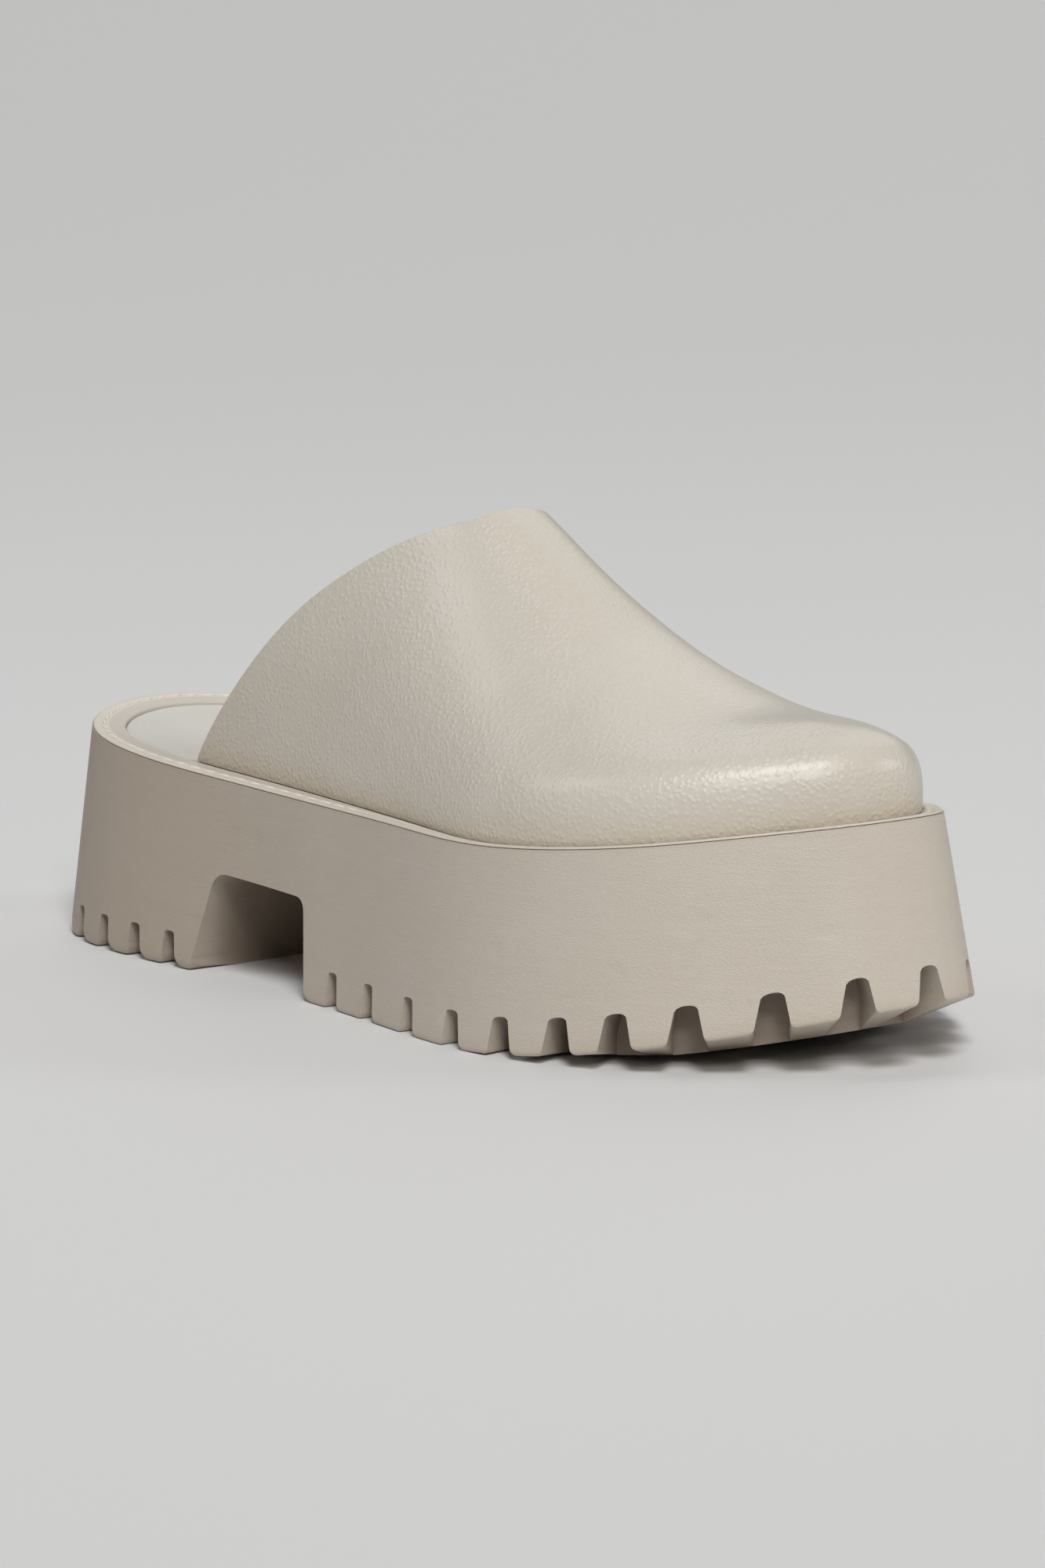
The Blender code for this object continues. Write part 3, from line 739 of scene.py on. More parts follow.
    def inner_faces(self, work: bmesh.types.BMesh, places: np.ndarray, inward: np.ndarray,
                    cuts: Sequence[Cut], spans: Sequence[tuple[int, int]]) -> None:
        """Draw the foot's edge inwards, close the notches and join the tunnel's mouths.

        Args:
            work: the wall.
            places: lengths along the foot, by row and column.
            inward: direction of each column.
            cuts: the cuts.
            spans: each cut's first and last column.
        """
        outline, rows = self.outline, self.rows
        # Vertices drawn inwards from the foot get 1 here; the finish paints shade on them.
        recess = work.verts.layers.float.new("recess")
        column_of, row_of = work.verts.layers.int["column"], work.verts.layers.int["row"]
        lower = [edge for edge in work.edges if edge.is_boundary
                 and min(vert[row_of] for vert in edge.verts) < rows.total]
        made = bmesh.ops.extrude_edge_only(work, edges=lower)["geom"]
        fresh = {}
        count = places.shape[1] - 1
        for vert in made:
            if isinstance(vert, bmesh.types.BMVert):
                vert[recess] = 1.0
                column, row = vert[column_of] % count, vert[row_of]
                vert.co.x += float(inward[column, 0]) * self.notch_depth
                vert.co.y += float(inward[column, 1]) * self.notch_depth
                if row == 0:
                    vert.co.z = float(outline.tread_height(vert.co.x))
                fresh[column, row] = vert
        chains = []
        for cut, (first, last) in zip(cuts, spans):
            top = rows.lug_top if cut.reach is Reach.NOTCH else rows.tunnel_top
            keys = [(first, row) for row in range(top)]
            keys += [(column, top) for column in range(first, last + 1)]
            keys += [(last, row) for row in range(top - 1, -1, -1)]
            chain = [fresh[key] for key in keys]
            if cut.reach is Reach.NOTCH:
                work.faces.new(chain)
            else:
                chains.append([work.edges.get(pair) for pair in zip(chain, chain[1:])])
        bmesh.ops.bridge_loops(work, edges=chains[0] + chains[1])

    def plate(self, work: bmesh.types.BMesh, edges: list[bmesh.types.BMEdge],
              height: Callable[[np.ndarray], np.ndarray], step: float,
              lanes: Sequence[float]) -> list[bmesh.types.BMFace]:
        """Close a loop with a plate that follows a height along the shoe.

        Args:
            work: the mesh.
            edges: the loop.
            height: height of the plate at a place along the shoe.
            step: length of the plate's faces.
            lanes: distances from the middle line at which it is divided as well.

        Returns:
            The plate's faces.
        """
        outline = self.outline
        mark = work.faces.layers.int.get("plate") or work.faces.layers.int.new("plate")
        number = 1 + max((face[mark] for face in work.faces), default=0)
        edges = [edge for edge in edges if edge.is_valid]
        for face in bmesh.ops.contextual_create(work, geom=edges)["faces"]:
            face[mark] = number

        def faces() -> list[bmesh.types.BMFace]:
            return [face for face in work.faces if face[mark] == number]

        def shift(sign: float) -> None:
            for vert in {vert for face in faces() for vert in face.verts}:
                vert.co.y += sign * float(outline.spine(vert.co.x))

        def divide(spot: tuple[float, float, float], normal: tuple[float, float, float]) -> None:
            own = faces()
            geom = own + list({edge for face in own for edge in face.edges})
            geom += list({vert for face in own for vert in face.verts})
            bmesh.ops.bisect_plane(work, geom=geom, dist=1e-6, plane_co=spot, plane_no=normal)

        shift(-1.0)
        for lane in lanes:
            divide((0.0, lane, 0.0), (0.0, 1.0, 0.0))
        xs = [vert.co.x for face in faces() for vert in face.verts]
        for x in np.arange(min(xs) + step, max(xs) - step / 3.0, step):
            divide((float(x), 0.0, 0.0), (1.0, 0.0, 0.0))
        shift(1.0)
        for vert in {vert for face in faces() for vert in face.verts}:
            vert.co.z = float(height(vert.co.x))
        return faces()

    def tread(self, work: bmesh.types.BMesh) -> None:
        """Close the underside of the heel and the forefoot, with the channel and shallow pockets."""
        outline = self.outline
        row_of = work.verts.layers.int["row"]
        middle = outline.heel_back + self.tunnel_rear + self.tunnel_length / 2.0
        lower = [edge for edge in work.edges if edge.is_boundary
                 and min(vert[row_of] for vert in edge.verts) < self.rows.total]
        low_x = float(outline.foot[:, 0].min()) + self.channel_margin
        high_x = float(outline.foot[:, 0].max()) - self.channel_margin
        lanes = (-self.tread_lane, -self.channel_half, self.channel_half, self.tread_lane)
        for sign in (-1.0, 1.0):
            loop = [edge for edge in lower if edge.is_valid and edge.is_boundary
                    and sign * (edge.verts[0].co.x + edge.verts[1].co.x - 2.0 * middle) > 0.0]
            channel, pockets = [], []
            for face in self.plate(work, loop, outline.tread_height, self.tread_step, lanes):
                spot = face.calc_center_median()
                offset = abs(spot.y - float(outline.spine(spot.x)))
                inside = all(low_x < vert.co.x < high_x and abs(vert.co.x - middle)
                             > self.tunnel_length / 2.0 + 0.003 for vert in face.verts)
                if offset < self.channel_half and inside:
                    channel.append(face)
                elif len(face.verts) == 4 and offset < self.tread_lane and inside:
                    pockets.append(face)
            bmesh.ops.recalc_face_normals(work, faces=work.faces[:])
            bmesh.ops.inset_region(work, faces=channel, thickness=self.pocket_edge, depth=-self.channel_depth,
                                   use_even_offset=True)
            bmesh.ops.inset_individual(work, faces=pockets, thickness=self.pocket_edge,
                                       depth=-self.pocket_depth, use_even_offset=True)

    def top_seat(self, work: bmesh.types.BMesh, places: np.ndarray) -> None:
        """Close the top: the ledge under the welt and the seat for the insole.

        Args:
            work: the mesh.
            places: lengths along the foot, by row and column.
        """
        outline = self.outline
        column_of = work.verts.layers.int["column"]
        loop = [edge for edge in work.edges if edge.is_boundary]
        gap = outline.last.gap
        floor = self.insole_sunk + self.insole_thickness + gap

        def seat_floor(x: float) -> float:
            return float(outline.rim_height(x)) - floor

        made = bmesh.ops.extrude_edge_only(work, edges=loop)["geom"]
        rim, normal, _ = outline.at(places[-1])
        seat = rim - normal * (outline.insole_inset(rim[:, 0]) - gap - self.lip_room)[:, None]
        for vert in made:
            if isinstance(vert, bmesh.types.BMVert):
                vert.co.x, vert.co.y = seat[vert[column_of]]
                vert.co.z = float(outline.ledge_height(vert.co.x))
        edges = [edge for edge in made if isinstance(edge, bmesh.types.BMEdge)]
        made = bmesh.ops.extrude_edge_only(work, edges=edges)["geom"]
        for vert in made:
            if isinstance(vert, bmesh.types.BMVert):
                vert.co.z = seat_floor(vert.co.x)
        edges = [edge for edge in made if isinstance(edge, bmesh.types.BMEdge)]
        self.plate(work, edges, seat_floor, 0.008, ())

    def paint(self, work: bmesh.types.BMesh) -> None:
        """Keep each vertex's height above the ground and below the rim for the finish."""
        outline = self.outline
        above = work.verts.layers.float.new("above_ground")
        below = work.verts.layers.float.new("below_rim")
        for vert in work.verts:
            vert[above] = vert.co.z - float(outline.ground_height(vert.co.x))
            vert[below] = float(outline.ledge_height(vert.co.x)) - vert.co.z


@dataclass
class WeltStrip:
    """Flat strip round the platform's top edge, with its groove and stitches."""

    outline: Outline
    setback: float = 0.0003
    edge: float = 0.0003
    edge_height: float = 0.00045
    crease_depth: float = 0.0005
    stitch_line: float = 0.0029
    groove_half: float = 0.0006
    groove_depth: float = 0.0003
    shelf_line: float = 0.0043
    shelf_drop: float = 0.00015
    lip: float = 0.0006
    lip_foot: float = 0.0020
    lip_width: float = 0.0005
    columns: int = 720
    stitch_pitch: float = 0.0060
    stitch_length: float = 0.0035
    stitch_radius: float = 0.00036
    stitch_turn: float = math.radians(14.0)
    stitched_band: float = 0.0058

    def profile(self, band: float, open_share: float) -> list[tuple[float, float, float]]:
        """Section of the strip, from the crease under its edge over the top to the inner lip.

        Args:
            band: the strip's width here.
            open_share: 1 beside the bare foot bed, 0 beside the upper.

        Returns:
            Inset from the rim, height below the top, and 1 on the outer band, 0 on the inner.
        """
        ledge = self.outline.last.ledge_drop
        foot = ledge + (self.lip_foot - ledge) * open_share
        edge, side, crease, lip = self.edge, self.edge_height, self.crease_depth, self.lip
        wide = float(smooth_step((band - 0.0040) / 0.0012))
        line, shelf = self.stitch_line, self.shelf_line
        groove, drop = self.groove_depth * wide, self.shelf_drop * wide
        reach = band - self.setback
        spots = [
            (crease, ledge, 1.0), (crease, side + 0.00005, 1.0), (edge * 0.4, side, 1.0),
            (0.0, side * 0.85, 1.0), (0.0, edge * 0.9, 1.0), (edge * 0.13, edge * 0.45, 1.0),
            (edge * 0.5, edge * 0.12, 1.0), (edge * 1.2, 0.0, 1.0),
        ]
        flat = [(line - self.groove_half, 0.0, 1.0), (line - self.groove_half * 0.4, groove * 0.7, 1.0),
                (line, groove, 1.0), (line + self.groove_half * 0.4, groove * 0.7, 1.0),
                (line + self.groove_half, 0.0, 1.0), (shelf - 0.0002, 0.0, 1.0),
                (shelf + 0.0002, drop, 0.0)]
        limit = reach - lip * 1.2
        spots += [(min(inset - self.setback, limit - 0.00002 * (len(flat) - k)), down, tone)
                  for k, (inset, down, tone) in enumerate(flat)]
        spots += [(reach - lip, drop, 0.0), (reach - lip * 0.6, drop + lip * 0.08, 0.0),
                  (reach - lip * 0.25, drop + lip * 0.32, 0.0), (reach - lip * 0.05, drop + lip * 0.7, 0.0),
                  (reach, foot, 0.0), (reach - self.lip_width, foot, 0.0),
                  (reach - self.lip_width, ledge, 0.0)]
        return spots

    def build(self, materials: Sequence[bpy.types.Material]) -> Piece:
        """Make the strip as a closed ring.

        Args:
            materials: the strip's finishes.

        Returns:
            The finished piece.
        """
        outline = self.outline
        place = np.linspace(0.0, outline.length, self.columns + 1)
        rim, normal, _ = outline.at(place)
        bands = outline.welt_band(rim[:, 0])
        clear = (rim[:, 0] - outline.collar_x + outline.last.insole_step_lead) / outline.last.insole_step
        bare = 1.0 - smooth_step(clear)
        spots = np.array([self.profile(float(band), float(share)) for band, share in zip(bands, bare)])
        count = spots.shape[1]
        inset = spots[..., 0] + self.setback
        flat = rim[:, None] - normal[:, None] * inset[..., None]
        top = outline.rim_height(flat[..., 0]) - spots[..., 1]
        points = np.concatenate([flat, top[..., None]], -1)
        work = mapped_grid(self.columns, count, lambda column, row: points[column, row % count])
        tone = work.verts.layers.float.new("outer_band")
        column_of, row_of = work.verts.layers.int["column"], work.verts.layers.int["row"]
        for vert in work.verts:
            vert[tone] = float(spots[vert[column_of], vert[row_of] % count, 2])
        weld(work)
        bmesh.ops.recalc_face_normals(work, faces=work.faces[:])
        return Piece("welt_strip", work, materials, "welt_cream", "welt")

    def stitches(self, materials: Sequence[bpy.types.Material]) -> Piece:
        """Make the row of stitches that lies in the groove.

        Args:
            materials: the thread's finish.

        Returns:
            The finished piece.
        """
        outline = self.outline
        work = bmesh.new()
        count = round(outline.length / self.stitch_pitch)
        for place in np.linspace(0.0, outline.length, count, endpoint=False):
            rim, normal, _ = outline.at(np.array(place))
            if rim[0] > 0.0 and outline.welt_band(rim[0]) < self.stitched_band:
                continue
            if rim[0] > outline.heel_back + 0.5 * outline.last.rim_length:
                continue
            spot = rim - normal * self.stitch_line
            angle = math.atan2(normal[0], -normal[1]) + self.stitch_turn
            height = float(outline.rim_height(spot[0]))
            slope = float(outline.rim_height(spot[0] + 0.001) - height) / 0.001
            lean = math.atan(slope * math.cos(angle))
            move = (Matrix.Translation((spot[0], spot[1], height - self.stitch_radius * 0.3))
                    @ Matrix.Rotation(angle, 4, "Z") @ Matrix.Rotation(-lean, 4, "Y")
                    @ Matrix.Diagonal((self.stitch_length / 2.0, self.stitch_radius * 1.25,
                                       self.stitch_radius, 1.0)))
            bmesh.ops.create_uvsphere(work, u_segments=8, v_segments=6, radius=1.0,
                                      matrix=move @ Matrix.Rotation(math.pi / 2.0, 4, "Y"))
        bmesh.ops.recalc_face_normals(work, faces=work.faces[:])
        return Piece("welt_stitches", work, materials, "welt_cream")


@dataclass
class FootBed:
    """Insole: soft edge, shallow dish, sunk below the welt."""

    outline: Outline
    sunk: float = 0.0010
    thickness: float = 0.0040
    dish: float = 0.0022
    end_margin: float = 0.034
    snug: float = 0.00035
    columns: int = 480
    bed_rows: int = 16

    def profile(self) -> list[tuple[float, float, float]]:
        """Section from the underside's middle, round the edge, to the top's middle.

        Returns:
            Share of the way to the middle line, inset from the edge, and height below the top.
        """
        low = self.thickness
        spots = [(1.0, 0.0, low), (0.5, 0.0, low), (0.0, 0.0004, low), (0.0, 0.0, low - 0.0004)]
        spots += [(0.0, 0.0, 0.0014), (0.0, 0.00004, 0.0004), (0.0, 0.0002, 0.0001), (0.0, 0.0007, -0.00012),
                  (0.0, 0.0016, 0.0), (0.0, 0.0027, 0.0003)]
        spots += [(share, 0.0027, 0.0) for share in np.linspace(0.0, 1.0, self.bed_rows + 1)[1:]]
        return spots

    def build(self, materials: Sequence[bpy.types.Material]) -> Piece:
        """Make the insole as one closed mesh.

        Args:
            materials: the insole's finishes.

        Returns:
            The finished piece.
        """
        outline = self.outline
        step = outline.last.ring_points // self.columns
        ring = np.arange(self.columns + 1) * step
        rim, normal = outline.rim[ring], outline.normal[ring]
        inset = outline.insole_inset(rim[:, 0]) - self.snug
        edge = rim - normal * inset[:, None]
        spread = (edge[:, 0] - edge[:, 0].min()) / np.ptp(edge[:, 0])
        spread = (spread + spread[::-1]) / 2.0
        middle_x = edge[:, 0].min() + self.end_margin + (np.ptp(edge[:, 0]) - 2.0 * self.end_margin) * spread
        middle = np.stack([middle_x, outline.spine(middle_x)], 1)
        spots = self.profile()
        rows = []
        for share, gap, down in spots:
            start = edge - normal * gap
            flat = start + (middle - start) * share
            sink = 0.0
            if share > 0.0 and down == 0.0:
                sink = 0.0003 + self.dish * float(smooth_step(share * 1.4))
            height = outline.rim_height(flat[:, 0]) - self.sunk - down - sink
            rows.append(np.column_stack([flat, height]))
        points = np.stack(rows)
        work = mapped_grid(self.columns, len(spots) - 1, lambda column, row: points[row, column])
        weld(work, 1e-5)
        bmesh.ops.recalc_face_normals(work, faces=work.faces[:])
        return Piece("foot_bed", work, materials, "insole_white", "insole")


class Crease(NamedTuple):
    """A soft hollow in the upper, at a given place; a ridge has a depth below zero."""

    start: tuple[float, float, float]
    end: tuple[float, float, float]
    reach: float
    depth: float

    def at(self, spot: Vector) -> float:
        """Depth of the hollow at a place."""
        start, line = Vector(self.start), Vector(self.end) - Vector(self.start)
        along = min(1.0, max(0.0, (spot - start).dot(line) / line.length_squared))
        away = (spot - start - line * along).length / self.reach
        return self.depth * math.exp(-away * away)


@dataclass
class UpperShell:
    """Closed-toe shell of the upper, with its wall, lining and soft creases."""

    outline: Outline
    instep_height: float = 0.1220
    toe_box_height: float = 0.0200
    collar_top: float = 0.1479
    collar_swing: float = -0.0020
    spine_setback: float = 0.0300
    collar_lean: float = 2.4
    toe_lean: float = 1.28
    collar_slant: float = 0.55
    even_spine: float = 0.15
    overlap: float = 0.0003
    tuck: float = 0.0002
    tuck_height: float = 0.0014
    collar_clear: float = 0.0006
    ring_step: int = 5
    rows: int = 56
    row_power: float = 1.5
    edge_round: float = 0.0008
    creases: tuple[Crease, ...] = (
        Crease((0.096, -0.023, 0.0722), (0.1130, -0.0040, 0.0744), 0.0075, 0.0008),
        Crease((0.098, 0.036, 0.0715), (0.114, 0.026, 0.0735), 0.0065, 0.0006),
        Crease((0.060, -0.032, 0.0760), (0.066, 0.016, 0.0830), 0.0070, 0.0004),
        Crease((0.044, -0.036, 0.0820), (0.048, 0.010, 0.0960), 0.0080, 0.0003),
        Crease((0.004, -0.046, 0.0680), (0.056, -0.050, 0.0590), 0.0080, 0.0004),
        Crease((-0.044, -0.038, 0.0640), (-0.030, -0.034, 0.0800), 0.0080, -0.0003),
    )

    def feet(self) -> tuple[np.ndarray, np.ndarray]:
        """Feather line and its normals, from the collar's outer end round the toe to the inner one."""
        outline = self.outline
        ring = outline.rim[:-1:self.ring_step]
        normal = outline.normal[:-1:self.ring_step]
        inset = outline.welt_band(ring[:, 0]) + outline.last.gap - self.overlap
        feather = ring - normal * inset[:, None]
        quarter = len(feather) // 4
        sides = feather[:quarter], np.roll(feather, -1, 0)[::-1][:quarter]
        nearer = np.minimum(sides[0][:, 0], sides[1][:, 0])
        first = int(np.argmax(nearer > outline.collar_x + self.collar_clear))
        ends = [(outline.collar_x, np.interp(outline.collar_x, *side.T)) for side in sides]
        last = len(feather) - first + 1
        line = np.vstack([ends[0], feather[first:last], ends[1]])
        directions = np.vstack([normal[first], normal[first:last], normal[last - 1]])
        return line, directions

    def spine_shares(self, feet: np.ndarray) -> np.ndarray:
        """How far along the spine each foot point's line ends: 0 at the collar, 1 at the toe."""
        middle = (len(feet) - 1) / 2.0
        steps = 1.0 - np.abs(np.arange(len(feet)) - middle) / middle
        reach = np.maximum.accumulate((feet[:, 0] + feet[::-1, 0])[:len(feet) // 2 + 1])
        reach = np.r_[reach, reach[::-1][len(reach) * 2 - len(feet):]]
        reach = (reach - reach.min()) / (reach.max() - reach.min())
        return (1.0 - self.even_spine) * reach + self.even_spine * steps

    def surface(self) -> np.ndarray:
        """Outside of the upper by row and column, from its lower edge to the spine."""
        outline = self.outline
        feet, normal = self.feet()
        part = self.spine_shares(feet)[:, None]
        top_x = outline.heel_back + self.collar_top
        front_x = outline.heel_back + outline.last.rim_length - self.spine_setback
        anchor_x = top_x + (front_x - top_x) * part
        anchor_y = outline.spine(anchor_x) + self.collar_swing * (1.0 - part)
        rise = 1.0 - np.linspace(0.0, 1.0, self.rows + 1)[None, :] ** self.row_power
        turn = rise * math.pi / 2.0
        box = follow(CROWNS, "box", outline.share(anchor_x))
        out = np.sin(turn) ** (2.0 / box)
        lean = self.collar_lean + (self.toe_lean - self.collar_lean) * part
        slant = self.collar_slant * (1.0 - part) ** 2
        slide = slant * rise**lean + (1.0 - slant) * out**lean
        x = anchor_x + (feet[:, :1] - anchor_x) * slide
        y = anchor_y + (feet[:, 1:] - anchor_y) * out
        base = outline.rim_height(x)
        shoulder = self.toe_box_height * follow(CROWNS, "shoulder", outline.share(x))
        side = shoulder * np.clip(np.cos(turn), 0.0, 1.0) ** (2.0 / box)
        crown = self.instep_height * follow(CROWNS, "crown", outline.share(x)) - base - shoulder
        hump = crown * np.clip(1.0 - out**2, 0.0, 1.0) ** follow(CROWNS, "spread", outline.share(x))
        above = side + hump
        pull = self.tuck * np.clip(1.0 - above / self.tuck_height, 0.0, 1.0) ** 2
        points = np.stack([x - normal[:, :1] * pull, y - normal[:, 1:] * pull, base + above], -1)
        skirt = points[:, :1].copy()
        skirt[..., 2] = outline.ledge_height(skirt[..., 0]) + outline.last.gap
        lines = np.concatenate([skirt, points], 1)
        count = len(lines)
        for column in range(count // 2):
            lines[count - 1 - column, -1] = lines[column, -1]
        return np.swapaxes(lines, 0, 1)

    def build(self, materials: Sequence[bpy.types.Material]) -> Piece:
        """Make the shell with its wall and rounded edges.

        Args:
            materials: the outside's finish and the lining's.

        Returns:
            The finished piece.
        """
        points = self.surface()
        rows, columns = points.shape[0] - 1, points.shape[1] - 1
        work = mapped_grid(columns, rows, lambda column, row: points[row, column])
        weld(work)
        self.press(work)
        above = work.verts.layers.float.new("above_welt")
        for vert in work.verts:
            vert[above] = vert.co.z - float(self.outline.rim_height(vert.co.x))
        piece = Piece("upper_shell", work, materials, "grained_cream", "upper")
        return piece.wall(self.outline.last.upper_wall).bevel(self.edge_round, 3, 50.0)

    def press(self, work: bmesh.types.BMesh) -> None:
        """Press the listed creases into the shell, along its own normals."""
        work.normal_update()
        moves = []
        for vert in work.verts:
            depth = sum(crease.at(vert.co) for crease in self.creases)
            lift = vert.co.z - float(self.outline.rim_height(vert.co.x))
            moves.append(vert.normal * -depth * min(1.0, max(0.0, lift / 0.004)))
        for vert, move in zip(work.verts, moves):
            vert.co += move


class Wiring:
    """Short ways to add and join the nodes of one tree."""

    def __init__(self, tree: bpy.types.NodeTree) -> None:
        """Keep the tree that nodes are added to."""
        self.tree = tree

    def add(self, kind: str, values: dict[str | int, object] | None = None, **settings: object) -> bpy.types.Node:
        """Add a node.

        Args:
            kind: its type, without the common prefix.
            values: values or output sockets for its inputs, by name or number.
            settings: properties to set on it.

        Returns:
            The node.
        """
        node = self.tree.nodes.new("ShaderNode" + kind)
        for name, setting in settings.items():
            setattr(node, name, setting)
        for name, value in (values or {}).items():
            self.feed(node.inputs[name], value)
        return node

    def feed(self, socket: bpy.types.NodeSocket, value: object) -> None:
        """Set a socket, or link it where the value is another socket."""
        if isinstance(value, bpy.types.NodeSocket):
            self.tree.links.new(value, socket)
        else:
            socket.default_value = value

    def maths(self, operation: str, first: object, second: object = 0.0) -> bpy.types.NodeSocket:
        """Result of a Math node."""
        return self.add("Math", {0: first, 1: second}, operation=operation).outputs[0]

    def remap(self, value: object, low: float, high: float, to_low: float = 0.0,
              to_high: float = 1.0) -> bpy.types.NodeSocket:
        """Value carried smoothly from one range to another."""
        node = self.add("MapRange", {0: value, 1: low, 2: high, 3: to_low, 4: to_high},
                        interpolation_type="SMOOTHSTEP")
        return node.outputs[0]

    def blend(self, share: object, first: object, second: object,
              mode: str = "MIX") -> bpy.types.NodeSocket:
        """Colour between two colours."""
        node = self.add("Mix", {0: share, 6: first, 7: second}, data_type="RGBA", blend_type=mode)
        return node.outputs[2]


def group(name: str, inputs: dict[str, float], outputs: Sequence[str],
          fill: Callable[[Wiring, bpy.types.Node, bpy.types.Node], None]) -> bpy.types.NodeTree:
    """Node group with named float inputs and a vector input.

    Args:
        name: the group's name.
        inputs: its float inputs and their usual values.
        outputs: its float outputs.
        fill: adds the nodes between the group's input and output.

    Returns:
        The group.
    """
    tree = bpy.data.node_groups.new(name, "ShaderNodeTree")
    tree.interface.new_socket(name="Vector", in_out="INPUT", socket_type="NodeSocketVector")
    for label, usual in inputs.items():
        socket = tree.interface.new_socket(name=label, in_out="INPUT", socket_type="NodeSocketFloat")
        socket.default_value = usual
    for label in outputs:
        tree.interface.new_socket(name=label, in_out="OUTPUT", socket_type="NodeSocketFloat")
    wiring = Wiring(tree)
    fill(wiring, tree.nodes.new("NodeGroupInput"), tree.nodes.new("NodeGroupOutput"))
    return tree


def pebble_grain() -> bpy.types.NodeTree:
    """Group: rounded pebbles of leather, with a finer grain over them."""

    def fill(wiring: Wiring, source: bpy.types.Node, result: bpy.types.Node) -> None:
        sway = wiring.add("TexNoise", {"Vector": source.outputs["Vector"], "Scale": 260.0, "Detail": 2.0})
        bent = wiring.add("VectorMath", {0: sway.outputs["Color"], 1: (0.0009, 0.0009, 0.0009)},
                          operation="MULTIPLY")
        spot = wiring.add("VectorMath", {0: source.outputs["Vector"], 1: bent.outputs[0]}, operation="ADD")
        cells = wiring.add("TexVoronoi", {"Vector": spot.outputs[0], "Scale": source.outputs["Scale"],
                                          "Smoothness": 0.45}, feature="SMOOTH_F1")
        round_top = wiring.remap(cells.outputs["Distance"], 0.08, 0.62, 1.0, 0.0)
        finer = wiring.maths("MULTIPLY", source.outputs["Scale"], 2.6)
        fine = wiring.add("TexNoise", {"Vector": spot.outputs[0], "Scale": finer, "Detail": 3.0})
        share = wiring.maths("MULTIPLY", fine.outputs[0], source.outputs["Fine"])
        wiring.feed(result.inputs["Height"], wiring.maths("ADD", round_top, share))
        wiring.feed(result.inputs["Furrow"], wiring.remap(cells.outputs["Distance"], 0.42, 0.7))

    return group("pebble_grain", {"Scale": 1050.0, "Fine": 0.35}, ("Height", "Furrow"), fill)


def soft_mottle() -> bpy.types.NodeTree:
    """Group: slow cloudy change and small specks, both from 0 to 1."""

    def fill(wiring: Wiring, source: bpy.types.Node, result: bpy.types.Node) -> None:
        cloud = wiring.add("TexNoise", {"Vector": source.outputs["Vector"], "Scale": source.outputs["Scale"],
                                        "Detail": 4.0, "Roughness": 0.55})
        wiring.feed(result.inputs["Cloud"], wiring.remap(cloud.outputs[0], 0.32, 0.68))
        finer = wiring.maths("MULTIPLY", source.outputs["Scale"], 26.0)
        speck = wiring.add("TexNoise", {"Vector": source.outputs["Vector"], "Scale": finer, "Detail": 2.0})
        wiring.feed(result.inputs["Speck"], wiring.remap(speck.outputs[0], 0.62, 0.74))

    return group("soft_mottle", {"Scale": 28.0}, ("Cloud", "Speck"), fill)


